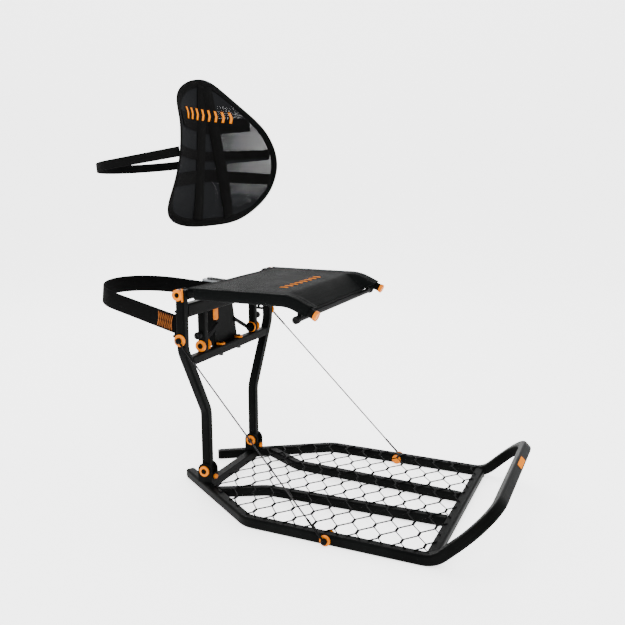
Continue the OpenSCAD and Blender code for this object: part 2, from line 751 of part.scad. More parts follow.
// sling: a sheet over the rails, a sleeve round each rail, and a lip between the rails that
// drops to the crossbar
module seat_sling() {
  lift = sleeve_r - 2.5;
  back_end = seat_rail_y0 + 6;
  front_end = seat_front_y - 14;
  lip_start = crossbar_y - 52;
  lip_half_w = post_top_x - 40;
  fold = lift * tan(seat_bend_angle / 2);
  end_z = seat_vertex_z - (front_end - seat_bend_y) * tan(seat_bend_angle);
  color([0.13, 0.13, 0.14]) at_trunk() difference() {
    union() {
      difference() {
        in_yz(0) bent_bar([
          [-back_end, seat_vertex_z + lift], [-seat_bend_y - fold, seat_vertex_z + lift],
          [-front_end - lift * sin(seat_bend_angle), end_z + lift * cos(seat_bend_angle)]
        ], 110 + lift) {
          square([3, 2 * post_top_x], center = true);
          square([3 - 2 * draw_in, 2 * post_top_x - 0.4], center = true);
        }
        translate([-lip_half_w, -seat_front_y - 60, crossbar_z])
          cube([2 * lip_half_w, seat_front_y + 60 - lip_start, 90]);
      }
      in_yz(0) bent_bar([
        [-lip_start + 12, seat_vertex_z + lift], [-lip_start - 9, seat_vertex_z + lift],
        [-crossbar_y, crossbar_z + crossbar_r + 2.2]
      ], 22) {
        square([3, 2 * lip_half_w], center = true);
        square([3 - 2 * draw_in, 2 * lip_half_w - 0.4], center = true);
      }
      for (s = [-1, 1]) in_yz(s * post_top_x) bent_bar([
        [-back_end, seat_vertex_z], [-seat_bend_y, seat_vertex_z], [-front_end, end_z]
      ], 110) {
        circle(r = sleeve_r);
        circle(r = sleeve_r - draw_in);
      }
    }
    for (s = [-1, 1]) in_yz(s * post_top_x) bent_bar([
      [-seat_rail_y0 + 6, seat_vertex_z], [-seat_bend_y, seat_vertex_z],
      [-seat_front_y - 10, seat_end_z - 10 * tan(seat_bend_angle)]
    ], 110) {
      circle(r = seat_rail_r + 0.3);
      circle(r = seat_rail_r + 0.2);
    }
    for (s = [-1, 1]) translate([s * post_top_x - 5.5, -crossbar_y - 5.5, crossbar_z])
      cube([11, 11, 24]);
    rod_x(-post_top_x, 2 * post_top_x, 8.3, -seat_rail_y0 - 16, seat_vertex_z);
  }
}

module seat_badge() {
  color([0.95, 0.50, 0.08]) at_trunk() translate([0, -228, seat_vertex_z + sleeve_r - 1])
    linear_extrude(0.8) rounded_box(250, 26, 8);
}

// ---------- backrest ----------

// share of the panel height below its top
function back_share(z) = (back_wide_z + back_upper_h - z) / (back_upper_h + back_lower_h);
function wrap_share(s) = 1 - pow((s - wrap_peak) / (s < wrap_peak ? 0.295 : 0.61), 2);
// middle of the panel thickness; the top rests on the trunk and the sides reach forward
function back_at(x, z) = trunk_y - trunk_r - 4 - back_tuck * back_share(z)
  - back_wrap * wrap_share(back_share(z)) * pow(x / back_half_w, 2);

// outline: rounded above the widest line and squarer below it
function bulge(t) = 2 / (sin(t) > 0 ? 1.9 : 3);
function edge_x(t, inset) = (back_half_w - inset) * sign(cos(t)) * pow(abs(cos(t)), bulge(t));
function edge_z(t, inset) =
  ((sin(t) > 0 ? back_upper_h : back_lower_h) - inset) * sign(sin(t)) * pow(abs(sin(t)), bulge(t));
function back_point(t, inset, share, d) =
  let (x = share * edge_x(t, inset), z = back_wide_z + share * edge_z(t, inset))
  [x, back_at(x, z) - d, z];

// closed layer of the panel inside its rim, from d0 to d1 ahead of its middle surface
module back_layer(d0, d1) {
  n = back_sides;
  m = 1 + n * back_rings;
  points = [for (d = [d0, d1], r = [0 : back_rings], k = [0 : (r == 0 ? 0 : n - 1)])
    back_point(360 * k / n, rim_w, r / back_rings, d)];
  function at(side, r, k) = side * m + (r == 0 ? 0 : 1 + (r - 1) * n + k % n);
  polyhedron(points, [
    for (k = [0 : n - 1]) each [
      [at(0, 0, 0), at(0, 1, k + 1), at(0, 1, k)],
      [at(1, 0, 0), at(1, 1, k), at(1, 1, k + 1)],
      [at(0, back_rings, k), at(0, back_rings, k + 1), at(1, back_rings, k + 1)],
      [at(0, back_rings, k), at(1, back_rings, k + 1), at(1, back_rings, k)]
    ],
    for (r = [1 : back_rings - 1], k = [0 : n - 1]) each [
      [at(0, r, k), at(0, r, k + 1), at(0, r + 1, k + 1)],
      [at(0, r, k), at(0, r + 1, k + 1), at(0, r + 1, k)],
      [at(1, r, k), at(1, r + 1, k + 1), at(1, r, k + 1)],
      [at(1, r, k), at(1, r + 1, k), at(1, r + 1, k + 1)]
    ]
  ]);
}

module backrest_mesh() {
  color([0.35, 0.36, 0.38]) at_trunk() back_layer(-panel_t / 2, panel_t / 2);
}

// bound edge: a closed band of a six-sided section round the panel
module backrest_rim() {
  n = back_sides;
  h = rim_t / 2;
  section = [[0, -h + 1.2], [0, h - 1.2], [3, h], [rim_w, h], [rim_w, -h], [3, -h]];
  m = len(section);
  points = [for (k = [0 : n - 1], p = section) back_point(360 * k / n, p[0], 1, p[1])];
  function at(k, i) = (k % n) * m + i % m;
  color([0.09, 0.09, 0.09]) at_trunk() polyhedron(points, [
    for (k = [0 : n - 1], i = [0 : m - 1]) each [
      [at(k, i), at(k, i + 1), at(k + 1, i + 1)],
      [at(k, i), at(k + 1, i + 1), at(k + 1, i)]
    ]
  ]);
}

// level bands as [height, rise per mm outward, width]
level_bands = [[945, 0.08, 40], [863, 0.055, 26], [811, -0.05, 33]];

// webbing: two upright bands that draw together upward, and three level ones
module band_area() {
  upright_w = 48;
  foot = back_wide_z - back_lower_h;
  head = back_wide_z + back_upper_h;
  low_x = 86;
  top_x = 6;
  for (s = [-1, 1]) polygon([
    [s * low_x - upright_w / 2, foot], [s * low_x + upright_w / 2, foot],
    [s * top_x + upright_w / 2, head], [s * top_x - upright_w / 2, head]
  ]);
  w = back_half_w;
  for (b = level_bands, h = [b[2] / 2], z = [b[0]], e = [b[0] + b[1] * w])
    polygon([[-w, e - h], [0, z - h], [w, e - h], [w, e + h], [0, z + h], [-w, e + h]]);
}

module backrest_bands() {
  color([0.10, 0.10, 0.10]) at_trunk() intersection() {
    back_layer(panel_t / 2 + 0.2, panel_t / 2 + 1.6);
    in_xz(trunk_y) linear_extrude(2 * trunk_y) intersection() {
      polygon([for (k = [0 : back_sides - 1])
        [edge_x(360 * k / back_sides, rim_w + 0.5), back_wide_z + edge_z(360 * k / back_sides, rim_w + 0.5)]
      ]);
      band_area();
    }
  }
}

// plain printed strip across the panel, following its curve
module backrest_badge() {
  n = 18;
  strip = [[-143, 956], [127, 992]];
  points = [for (d = [panel_t / 2 + 2.6, panel_t / 2 + 3.2], z = [strip[0][1], strip[1][1]], k = [0 : n])
    let (x = strip[0][0] + (strip[1][0] - strip[0][0]) * k / n) [x, back_at(x, z) - d, z]];
  m = n + 1;
  color([0.95, 0.50, 0.08]) at_trunk() polyhedron(points, [
    for (k = [0 : n - 1]) each [
      [k, k + 1, m + k + 1], [k, m + k + 1, m + k],
      [2 * m + k, 3 * m + k + 1, 2 * m + k + 1], [2 * m + k, 3 * m + k, 3 * m + k + 1],
      [k, 2 * m + k + 1, k + 1], [k, 2 * m + k, 2 * m + k + 1],
      [m + k, m + k + 1, 3 * m + k + 1], [m + k, 3 * m + k + 1, 3 * m + k]
    ],
    [0, m, 3 * m], [0, 3 * m, 2 * m],
    [n, 2 * m + n, 3 * m + n], [n, 3 * m + n, m + n]
  ]);
}

// side points where the strap leaves the back of the panel
strap_side_x = 236;
strap_side_y = back_at(strap_side_x, back_strap_z) + 4;
module back_slab() {
  translate([0, 0, back_strap_z]) rotate([-back_strap_tilt, 0, 0]) translate([0, 0, -web_w / 2])
    children();
}

module backrest_strap() {
  color([0.09, 0.09, 0.09]) at_trunk() back_slab()
    wrap_band(strap_side_x, strap_side_y, 2, web_w);
}

back_reach = wrap_reach(strap_side_x, strap_side_y);
module on_back_run(along) {
  foot = [trunk_r * sin(back_reach), trunk_y - trunk_r * cos(back_reach)];
  back_slab() translate([foot[0], foot[1], web_w / 2]) rotate([0, 0, back_reach - 90])
    translate([2, -along, 0]) children();
}

module cam_buckle() {
  color([0.30, 0.31, 0.33]) at_trunk() on_back_run(110) difference() {
    union() {
      translate([0, -24, -17]) cube([2.5, 48, 34]);
      for (s = [-1, 1]) translate([0, -24, s * 17 - 1.25]) cube([16, 48, 2.5]);
    }
    translate([9, 12, -20]) cylinder(h = 40, r = 3);
  }
}

module cam_lever() {
  color([0.12, 0.12, 0.13]) at_trunk() on_back_run(110) translate([9, 12, 0]) union() {
    translate([0, 0, -18.25]) cylinder(h = 36.5, r = 3 - bore_gap);
    translate([0, 0, -14]) cylinder(h = 28, r = 6);
    translate([0, -34, -13]) cube([5, 34, 26]);
  }
}

// ---------- picture or single sub-part ----------

post_left();
post_right();
lower_cross_tube();
top_cross_tube();
inner_bars();
tree_bracket();
brace_arms();
frame_bushings();
frame_bolts();
lock_knobs();
release_tab();
strap_hooks();
trunk_strap();
strap_stitching();
ratchet_frame();
ratchet_handle();
ratchet_spool();
side_rail_left();
side_rail_right();
footrest();
rear_crossbar();
centre_bar_left();
centre_bar_right();
front_crossbar();
deck_mesh();
hinge_brackets();
hinge_pins();
hinge_bushings();
deck_bumpers();
cable_pins();
tip_plugs();
footrest_badge();
seat_rail_left();
seat_rail_right();
seat_rear_tube();
seat_crossbar();
crossbar_caps();
seat_end_caps();
seat_cheeks();
seat_pivot_caps();
seat_sling();
seat_badge();
cable_left();
cable_left_ends();
cable_right();
cable_right_ends();
backrest_mesh();
backrest_rim();
backrest_bands();
backrest_badge();
backrest_strap();
cam_buckle();
cam_lever();
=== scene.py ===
import json
import math

import bmesh
import bpy
import numpy as np
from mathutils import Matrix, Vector
from mathutils.noise import noise as smooth_noise


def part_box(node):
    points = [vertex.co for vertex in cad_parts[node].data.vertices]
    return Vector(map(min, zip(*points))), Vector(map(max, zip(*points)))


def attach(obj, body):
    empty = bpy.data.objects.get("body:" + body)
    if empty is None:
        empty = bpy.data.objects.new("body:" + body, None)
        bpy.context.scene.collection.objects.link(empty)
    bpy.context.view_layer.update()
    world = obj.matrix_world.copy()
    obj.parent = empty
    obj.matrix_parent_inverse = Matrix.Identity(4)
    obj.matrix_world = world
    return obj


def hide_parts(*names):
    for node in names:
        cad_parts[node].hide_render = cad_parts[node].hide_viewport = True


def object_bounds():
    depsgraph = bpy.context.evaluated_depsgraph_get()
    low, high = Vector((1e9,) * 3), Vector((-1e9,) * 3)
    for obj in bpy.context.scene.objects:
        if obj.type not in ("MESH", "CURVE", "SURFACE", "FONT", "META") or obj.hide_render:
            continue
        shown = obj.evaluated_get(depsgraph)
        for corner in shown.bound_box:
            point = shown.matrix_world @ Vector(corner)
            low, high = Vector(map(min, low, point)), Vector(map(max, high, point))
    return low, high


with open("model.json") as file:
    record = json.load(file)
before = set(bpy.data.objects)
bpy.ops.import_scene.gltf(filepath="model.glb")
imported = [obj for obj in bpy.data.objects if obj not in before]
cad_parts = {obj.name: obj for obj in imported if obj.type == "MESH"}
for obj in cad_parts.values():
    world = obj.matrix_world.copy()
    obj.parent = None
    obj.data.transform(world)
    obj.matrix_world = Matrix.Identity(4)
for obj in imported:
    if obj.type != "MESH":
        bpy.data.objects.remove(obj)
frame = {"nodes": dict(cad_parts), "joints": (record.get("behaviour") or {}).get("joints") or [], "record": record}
cad_low, cad_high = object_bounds()

MM = 0.001
JOINT = {j["name"]: j for j in frame["joints"]}
HINGE_Y = JOINT["platform_fold"]["pos_m"][1]      # hinge line, in front of the trunk axis
SEAT_Z = JOINT["seat_flip"]["pos_m"][2]
TRUNK_R = 165 * MM
RAIL_X, RAIL_TOP_Z = 236 * MM, SEAT_Z + 3 * MM    # centre lines of the seat rails
RAIL_BEND, BEND_AT, RAIL_FRONT = math.radians(24), 308 * MM, 373 * MM


# ---------- mesh helpers ----------

def new_mesh(name, verts, faces, uvs=None, smooth=True):
    """An object from points and faces, with a UV layer in metres where one is given."""
    mesh = bpy.data.meshes.new(name)
    mesh.from_pydata([tuple(v) for v in verts], [], faces)
    if uvs is not None:
        layer = mesh.uv_layers.new(name="flat")
        loop_uv = [uvs[i] for f in faces for i in f] if not callable(uvs) else uvs(faces)
        layer.data.foreach_set("uv", np.array(loop_uv, np.float32).ravel())
    mesh.validate()
    mesh.shade_smooth() if smooth else mesh.shade_flat()
    obj = bpy.data.objects.new(name, mesh)
    bpy.context.scene.collection.objects.link(obj)
    return obj


def outward(obj):
    bm = bmesh.new()
    bm.from_mesh(obj.data)
    bmesh.ops.recalc_face_normals(bm, faces=bm.faces)
    bm.to_mesh(obj.data)
    bm.free()
    return obj


def apply_modifiers(obj):
    dg = bpy.context.evaluated_depsgraph_get()
    dg.update()
    mesh = bpy.data.meshes.new_from_object(obj.evaluated_get(dg))
    old = obj.data
    obj.modifiers.clear()
    obj.data = mesh
    bpy.data.meshes.remove(old)
    return obj


def thicken(obj, thickness, offset=0.0):
    m = obj.modifiers.new("thickness", "SOLIDIFY")
    m.thickness = thickness
    m.offset = offset
    return apply_modifiers(obj)


def soften(obj, width):
    """Rounds the sharp edges of a mesh by a bevel modifier."""
    w = obj.modifiers.new("weld", "WELD")
    w.merge_threshold = 0.00002
    b = obj.modifiers.new("round edges", "BEVEL")
    b.width = width
    b.segments = 2
    b.limit_method = "ANGLE"
    b.angle_limit = math.radians(35)
    b.harden_normals = True
    return obj


def arc_lengths(points):
    out = [0.0]
    for a, b in zip(points, points[1:]):
        out.append(out[-1] + (b - a).length)
    return out


def sweep(name, path, section, up=None, closed=False, scale=None):
    """Sweeps a closed 2-D section along a path. section is (side, up) pairs; up is a vector or
    one per point. UVs run along the path and round the section, in metres."""
    n, k = len(path), len(section)
    lengths = arc_lengths(path + ([path[0]] if closed else []))
    around = [0.0]
    for i in range(k):
        a, b = section[i], section[(i + 1) % k]
        around.append(around[-1] + math.dist(a, b))
    verts, last_up = [], None
    for i, p in enumerate(path):
        before = path[i - 1] if i or closed else p
        after = path[(i + 1) % n] if i < n - 1 or closed else p
        way = (after - before).normalized()
        if up is None:
            ref = last_up or (Vector((0, 0, 1)) if abs(way.z) < 0.9 else Vector((1, 0, 0)))
        else:
            ref = up[i] if isinstance(up, list) else up
        side = way.cross(ref).normalized()
        top = side.cross(way).normalized()
        last_up = top
        s = scale(i / max(1, n - 1)) if scale else 1.0
        verts += [p + side * (a * s) + top * (b * s) for a, b in section]
    faces, uvs = [], []
    for i in range(n if closed else n - 1):
        j = (i + 1) % n
        for c in range(k):
            d = (c + 1) % k
            faces.append((i * k + c, i * k + d, j * k + d, j * k + c))
            uvs += [(lengths[i], around[c]), (lengths[i], around[c + 1]),
                    (lengths[i + 1], around[c + 1]), (lengths[i + 1], around[c])]
    if not closed:
        faces.append(tuple(reversed(range(k))))
        faces.append(tuple((n - 1) * k + c for c in range(k)))
        uvs += [(0.0, 0.0)] * (2 * k)
    return outward(new_mesh(name, verts, faces, lambda _: uvs))


def flat_section(width, thickness, rim=4):
    """A flat band's section with round edges; the width runs along the second axis."""
    r, half = thickness / 2, width / 2 - thickness / 2
    top = [(r * math.cos(a), half + r * math.sin(a))
           for a in (math.pi * i / rim for i in range(rim + 1))]
    return top + [(-x, -y) for x, y in top]


def round_section(radius, sides=12, squash=1.0):
    return [(radius * math.cos(2 * math.pi * i / sides), squash * radius * math.sin(2 * math.pi * i / sides))
            for i in range(sides)]


def lathe(name, profile, origin, axis, sides=32):
    """Turns (distance along the axis, radius) pairs round an axis through origin."""
    axis = Vector(axis).normalized()
    side = axis.orthogonal().normalized()
    other = axis.cross(side)
    verts, faces = [], []
    for along, radius in profile:
        for i in range(sides):
            a = 2 * math.pi * i / sides
            verts.append(Vector(origin) + axis * along
                         + (side * math.cos(a) + other * math.sin(a)) * max(radius, 1e-5))
    for r in range(len(profile) - 1):
        for i in range(sides):
            j = (i + 1) % sides
            faces.append((r * sides + i, r * sides + j, (r + 1) * sides + j, (r + 1) * sides + i))
    if profile[0] != profile[-1]:
        faces.append(tuple(reversed(range(sides))))
        faces.append(tuple((len(profile) - 1) * sides + i for i in range(sides)))
    return outward(new_mesh(name, verts, faces))


def join(name, objects):
    """One object from several, keeping their UVs and materials."""
    with bpy.context.temp_override(active_object=objects[0], selected_editable_objects=objects,
                                   selected_objects=objects, object=objects[0]):
        bpy.ops.object.join()
    objects[0].name = name
    objects[0].data.name = name
    return objects[0]


def sheet_grid(name, place, nu, nv):
    """A grid of points place(u, v) for u and v from 0 to 1, with UVs of its true size."""
    rows = [[place(i / nu, j / nv) for j in range(nv + 1)] for i in range(nu + 1)]
    verts = [p for row in rows for p in row]
    uvs = []
    for i, row in enumerate(rows):
        across = arc_lengths(row)
        for j in range(nv + 1):
            along = sum((rows[k + 1][j] - rows[k][j]).length for k in range(i))
            uvs.append((along, across[j]))
    faces = [(i * (nv + 1) + j, (i + 1) * (nv + 1) + j, (i + 1) * (nv + 1) + j + 1, i * (nv + 1) + j + 1)
             for i in range(nu) for j in range(nv)]
    return new_mesh(name, verts, faces, uvs)


def stitches(name, path, normals, pitch=4.5 * MM, length=3.0 * MM, radius=0.45 * MM):
    """A row of short threads along a path, each a small round-ended bar."""
    lengths = arc_lengths(path)
    verts, faces = [], []
    sides, rings = 6, ((-0.5, 0.35), (-0.4, 1.0), (0.4, 1.0), (0.5, 0.35))
    at, seg = pitch / 2, 0
    while at < lengths[-1] - pitch / 4:
        while lengths[seg + 1] < at:
            seg += 1
        share = (at - lengths[seg]) / max(1e-9, lengths[seg + 1] - lengths[seg])
        p = path[seg].lerp(path[seg + 1], share)
        way = (path[seg + 1] - path[seg]).normalized()
        out = normals[seg].normalized()
        e = way.cross(out).normalized()
        base = len(verts)
        for along, swell in rings:
            for i in range(sides):
                a = 2 * math.pi * i / sides
                verts.append(p + way * (along * length)
                             + (e * math.cos(a) + out * math.sin(a)) * radius * swell)
        for r in range(len(rings) - 1):
            for i in range(sides):
                j = (i + 1) % sides
                faces.append((base + r * sides + i, base + r * sides + j,
                              base + (r + 1) * sides + j, base + (r + 1) * sides + i))
        faces.append(tuple(base + i for i in reversed(range(sides))))
        faces.append(tuple(base + (len(rings) - 1) * sides + i for i in range(sides)))
        at += pitch
    return outward(new_mesh(name, verts, faces))


# ---------- materials ----------

class Paint:
    """A node material with a few short ways to add textures."""

    def __init__(self, name, metallic=0.0, **fixed):
        self.mat = bpy.data.materials.new(name)
        self.mat.use_nodes = True
        self.nodes = self.mat.node_tree.nodes
        self.bsdf = self.nodes["Principled BSDF"]
        self.bsdf.inputs["Metallic"].default_value = metallic
        for key, value in fixed.items():
            self.bsdf.inputs[key.replace("_", " ")].default_value = value

    def link(self, a, b):
        self.mat.node_tree.links.new(a, b)

    def coords(self, uv=False, stretch=None):
        if uv:
            node = self.nodes.new("ShaderNodeUVMap")
            node.uv_map = "flat"
            out = node.outputs["UV"]
        else:
            out = self.nodes.new("ShaderNodeTexCoord").outputs["Object"]
        if stretch:
            m = self.nodes.new("ShaderNodeMapping")
            m.inputs["Scale"].default_value = stretch
            self.link(out, m.inputs["Vector"])
            out = m.outputs["Vector"]
        return out

    def noise(self, size, detail=3.0, **where):
        n = self.nodes.new("ShaderNodeTexNoise")
        n.inputs["Scale"].default_value = 1 / size
        n.inputs["Detail"].default_value = detail
        self.link(self.coords(**where), n.inputs["Vector"])
        return n.outputs["Fac"]

    def wave(self, period, axis="X", **where):
        n = self.nodes.new("ShaderNodeTexWave")
        n.bands_direction = axis
        n.inputs["Scale"].default_value = 2 * math.pi / 20 / period
        self.link(self.coords(**where), n.inputs["Vector"])
        return n.outputs["Fac"]

    def spread(self, fac, low, high, start=0.0, end=1.0):
        """Maps a 0 to 1 texture onto low to high."""
        n = self.nodes.new("ShaderNodeMapRange")
        n.inputs["From Min"].default_value = start
        n.inputs["From Max"].default_value = end
        n.inputs["To Min"].default_value = low
        n.inputs["To Max"].default_value = high
        self.link(fac, n.inputs["Value"])
        return n.outputs["Result"]

    def math(self, kind, a, b):
        n = self.nodes.new("ShaderNodeMath")
        n.operation = kind
        for socket, value in zip(n.inputs, (a, b)):
            if isinstance(value, (int, float)):
                socket.default_value = value
            else:
                self.link(value, socket)
        return n.outputs["Value"]

    def blend(self, fac, a, b):
        n = self.nodes.new("ShaderNodeMix")
        n.data_type = "RGBA"
        self.link(fac, n.inputs["Factor"])
        for socket, value in ((n.inputs["A"], a), (n.inputs["B"], b)):
            if isinstance(value, tuple):
                socket.default_value = (*value, 1)
            else:
                self.link(value, socket)
        return n.outputs["Result"]

    def colour(self, out):
        self.link(out, self.bsdf.inputs["Base Color"])

    def rough(self, out):
        self.link(out, self.bsdf.inputs["Roughness"])

    def bump(self, height, distance, strength=1.0):
        n = self.nodes.new("ShaderNodeBump")
        n.inputs["Distance"].default_value = distance
        n.inputs["Strength"].default_value = strength
        self.link(height, n.inputs["Height"])
        self.link(n.outputs["Normal"], self.bsdf.inputs["Normal"])
        return self.mat


def powder_coat(name="powder_coat", dark=(0.0014, 0.0015, 0.0015), light=(0.0034, 0.0037, 0.0036),
                shine=0.40):
    p = Paint(name, Specular_IOR_Level=0.25, IOR=1.09)
    cloud = p.noise(0.11, 4)
    scuff = p.noise(0.006, 5, stretch=(1, 1, 0.16))
    mark = p.spread(scuff, 0, 1, 0.66, 0.74)
    body = p.blend(p.spread(cloud, 0, 1, 0.3, 0.7), dark, light)
    p.colour(p.blend(p.math("MULTIPLY", mark, 0.35), body, (0.006, 0.006, 0.0058)))
    p.rough(p.math("ADD", p.spread(cloud, shine - 0.06, shine + 0.08), p.math("MULTIPLY", mark, 0.12)))
    return p.bump(p.math("ADD", p.noise(0.0011, 2), p.math("MULTIPLY", mark, -0.15)), 0.00022, 0.55)


def moulded(name, dark, light, shine, grain=0.0007):
    p = Paint(name, Specular_IOR_Level=0.3, IOR=1.15)
    cloud = p.noise(0.02, 4)
    scratch = p.noise(0.0028, 4, stretch=(1, 0.2, 1))
    worn = p.spread(scratch, 0, 1, 0.64, 0.75)
    body = p.blend(p.spread(cloud, 0, 1, 0.3, 0.7), dark, light)
    faded = tuple(min(1.0, c * 1.35 + 0.003) for c in light)
    p.colour(p.blend(p.math("MULTIPLY", worn, 0.4), body, faded))
    p.rough(p.math("ADD", p.spread(cloud, shine - 0.07, shine + 0.07), p.math("MULTIPLY", worn, 0.1)))
    return p.bump(p.noise(grain, 3), 0.00012, 0.5)


def metal(name, dark, light, shine):
    p = Paint(name, metallic=1.0)
    grain = p.noise(0.0016, 4, stretch=(1, 1, 0.05))
    stain = p.noise(0.018, 5)
    body = p.blend(grain, dark, light)
    p.colour(p.blend(p.spread(stain, 0, 0.5, 0.5, 0.75), body, (0.09, 0.08, 0.07)))
    p.rough(p.spread(stain, shine, shine + 0.22))
    return p.bump(grain, 0.00008, 0.5)


def webbing(name, dark, light, rib=1.7 * MM, weft=2.6 * MM, sheen=0.006):
    """Woven band: ribs along it and a weft across it, which the UVs give in metres."""
    p = Paint(name, Sheen_Weight=sheen, Sheen_Roughness=0.5, Specular_IOR_Level=0.2, IOR=1.06)
    ribs = p.wave(rib, "Y", uv=True)
    picks = p.wave(weft, "X", uv=True)
    twill = p.wave(rib * 1.6, "DIAGONAL", uv=True)
    height = p.math("ADD", p.math("MULTIPLY", ribs, 0.6), p.math("MULTIPLY", picks, twill))
    wear = p.noise(0.035, 4, uv=True)
    tone = p.math("ADD", p.math("MULTIPLY", height, 0.55), p.spread(wear, -0.2, 0.35))
    p.colour(p.blend(tone, dark, light))
    p.rough(p.spread(wear, 0.62, 0.85))
    return p.bump(height, 0.0004, 0.9)


def woven(name, dark, light, thread=1.3 * MM, sheen=0.01, shine=0.5):
    """Plain-weave fabric with slightly uneven threads."""
    p = Paint(name, Sheen_Weight=sheen, Sheen_Roughness=0.45, Specular_IOR_Level=0.2, IOR=1.06)
    warp = p.wave(thread, "X", uv=True)
    weft = p.wave(thread, "Y", uv=True)
    over = p.math("MULTIPLY", p.math("ADD", warp, weft), 0.5)
    uneven = p.noise(0.004, 3, uv=True, stretch=(1, 0.12, 1))
    cloud = p.noise(0.06, 4, uv=True)
    tone = p.math("ADD", p.math("MULTIPLY", over, 0.45), p.math("MULTIPLY", uneven, 0.35))
    p.colour(p.blend(p.math("ADD", tone, p.spread(cloud, -0.15, 0.2)), dark, light))
    p.rough(p.spread(cloud, shine - 0.06, shine + 0.12))
    return p.bump(p.math("ADD", over, p.math("MULTIPLY", uneven, 0.5)), 0.0003, 0.8)


def thread(name, dark, light):
    p = Paint(name, Sheen_Weight=0.008, Specular_IOR_Level=0.2, IOR=1.06)
    twist = p.noise(0.0012, 3)
    p.colour(p.blend(twist, dark, light))
    p.rough(p.spread(twist, 0.5, 0.75))
    return p.bump(twist, 0.0002, 0.7)


def grey(value):
    return (value, value, value)


ORANGE_DARK, ORANGE_LIGHT = (0.42, 0.095, 0.0), (0.62, 0.17, 0.0)
MATERIALS = {
    "powder_coat": powder_coat(),
    "deck_coat": powder_coat("deck_coat", (0.0012, 0.0012, 0.0013), (0.0026, 0.0028, 0.0028), 0.46),
    "orange_bushing": moulded("orange_bushing", ORANGE_DARK, ORANGE_LIGHT, 0.50),
    "orange_cap": moulded("orange_cap", ORANGE_DARK, ORANGE_LIGHT, 0.36),
    "orange_print": thread("orange_print", (0.45, 0.11, 0.0), (0.62, 0.18, 0.0)),
    "black_bolt": powder_coat("black_bolt", grey(0.0014), grey(0.0034), 0.30),
    "black_plastic": moulded("black_plastic", grey(0.0014), grey(0.0034), 0.45),
    "webbing": webbing("webbing", grey(0.0008), grey(0.0040)),
    "stitched_patch": thread("stitched_patch", (0.22, 0.06, 0.012), (0.40, 0.13, 0.03)),
    "buckle_steel": metal("buckle_steel", (0.10, 0.105, 0.11), (0.20, 0.21, 0.22), 0.34),
    "spool_steel": metal("spool_steel", (0.38, 0.38, 0.39), (0.55, 0.55, 0.56), 0.26),
    "lever_coat": powder_coat("lever_coat", grey(0.0014), grey(0.0034), 0.42),
    "seat_fabric": woven("seat_fabric", (0.0012, 0.0014, 0.0014), (0.0052, 0.0058, 0.0057)),
    "mesh_fabric": thread("mesh_fabric", (0.0030, 0.0032, 0.0035), (0.0085, 0.009, 0.010)),
    "rim_fabric": webbing("rim_fabric", grey(0.0008), grey(0.0040), 1.2 * MM, 1.8 * MM),
    "wire_rope": metal("wire_rope", (0.012, 0.012, 0.013), (0.035, 0.035, 0.037), 0.5),
    "cable_sleeve": moulded("cable_sleeve", grey(0.0012), grey(0.003), 0.55),
}
BLACK_THREAD = thread("black_thread", grey(0.0016), grey(0.007))

for part in frame["record"]["subparts"]:
    cad = frame["nodes"][part["node"]]
    cad.data.materials.clear()
    cad.data.materials.append(MATERIALS[part["material_slot"]])


def finish_piece(obj, slot, body, *nodes, material=None):
    """Gives a new piece its material and its body, and hides the CAD nodes that it stands for."""
    obj.data.materials.clear()
    obj.data.materials.append(material or MATERIALS[slot])
    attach(obj, body)
    if nodes:
        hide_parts(*nodes)
    return obj


# ---------- CAD nodes that stay: rounded edges ----------

KEPT_EDGES = {
    "tree_bracket": 0.7, "brace_arms": 0.6, "hinge_brackets": 0.8, "seat_cheeks": 0.7,
    "frame_bushings": 0.9, "hinge_bushings": 0.9, "cable_pins": 0.9, "seat_pivot_caps": 0.8,
    "release_tab": 1.2, "tip_plugs": 0.8, "strap_hooks": 0.5, "ratchet_frame": 0.6,
    "ratchet_spool": 0.4, "ratchet_handle": 0.7, "cam_buckle": 0.5, "cam_lever": 0.6,
    "rear_crossbar": 1.6,
}
for node, width in KEPT_EDGES.items():
    soften(frame["nodes"][node], width * MM)


# ---------- welds ----------

def weld_bead(name, corners, body, radius=1.7 * MM, ripple=2.6 * MM):
    """A rippled bead along a closed loop of corner points."""
    path = []
    for a, b in zip(corners, corners[1:] + corners[:1]):
        steps = max(2, round((b - a).length / (ripple / 2)))
        path += [a.lerp(b, i / steps) for i in range(steps)]

    def swell(t):
        i = t * (len(path) - 1)
        return 0.86 + 0.16 * math.cos(math.pi * i) + 0.12 * smooth_noise(Vector((i * 0.31, 0.7, len(path))))

    bead = sweep(name, path, round_section(radius, 8), closed=True, scale=swell)
    return finish_piece(bead, "powder_coat", body)


def end_weld(name, box, axis, side, body, inset=0.8 * MM):
    """A weld round one end of a tube that fills a box and runs along an axis of the frame."""
    lo, hi = box
    a, b = [i for i in range(3) if i != axis]
    at = hi[axis] if side > 0 else lo[axis]
    corners = []
    for sa, sb in ((0, 0), (1, 0), (1, 1), (0, 1)):
        p = Vector((0, 0, 0))
        p[axis] = at
        p[a] = hi[a] - inset if sa else lo[a] + inset
        p[b] = hi[b] - inset if sb else lo[b] + inset
        corners.append(p)
    return weld_bead(name, corners, body)


for side, word in ((-1, "left"), (1, "right")):
    end_weld(f"weld_top_tube_{word}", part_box("top_cross_tube"), 0, side, "frame")
    end_weld(f"weld_front_bar_{word}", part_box("front_crossbar"), 0, side, "platform")
    bars_lo, bars_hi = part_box("inner_bars")
    bar_w = bars_hi.y - bars_lo.y
    near = Vector((bars_hi.x - bar_w if side > 0 else bars_lo.x, bars_lo.y, bars_lo.z))
    far = Vector((near.x + bar_w, bars_hi.y, bars_hi.z))
    end_weld(f"weld_inner_bar_low_{word}", (near, far), 2, -1, "frame")
    end_weld(f"weld_inner_bar_top_{word}", (near, far), 2, 1, "frame")


# ---------- screws and nuts ----------

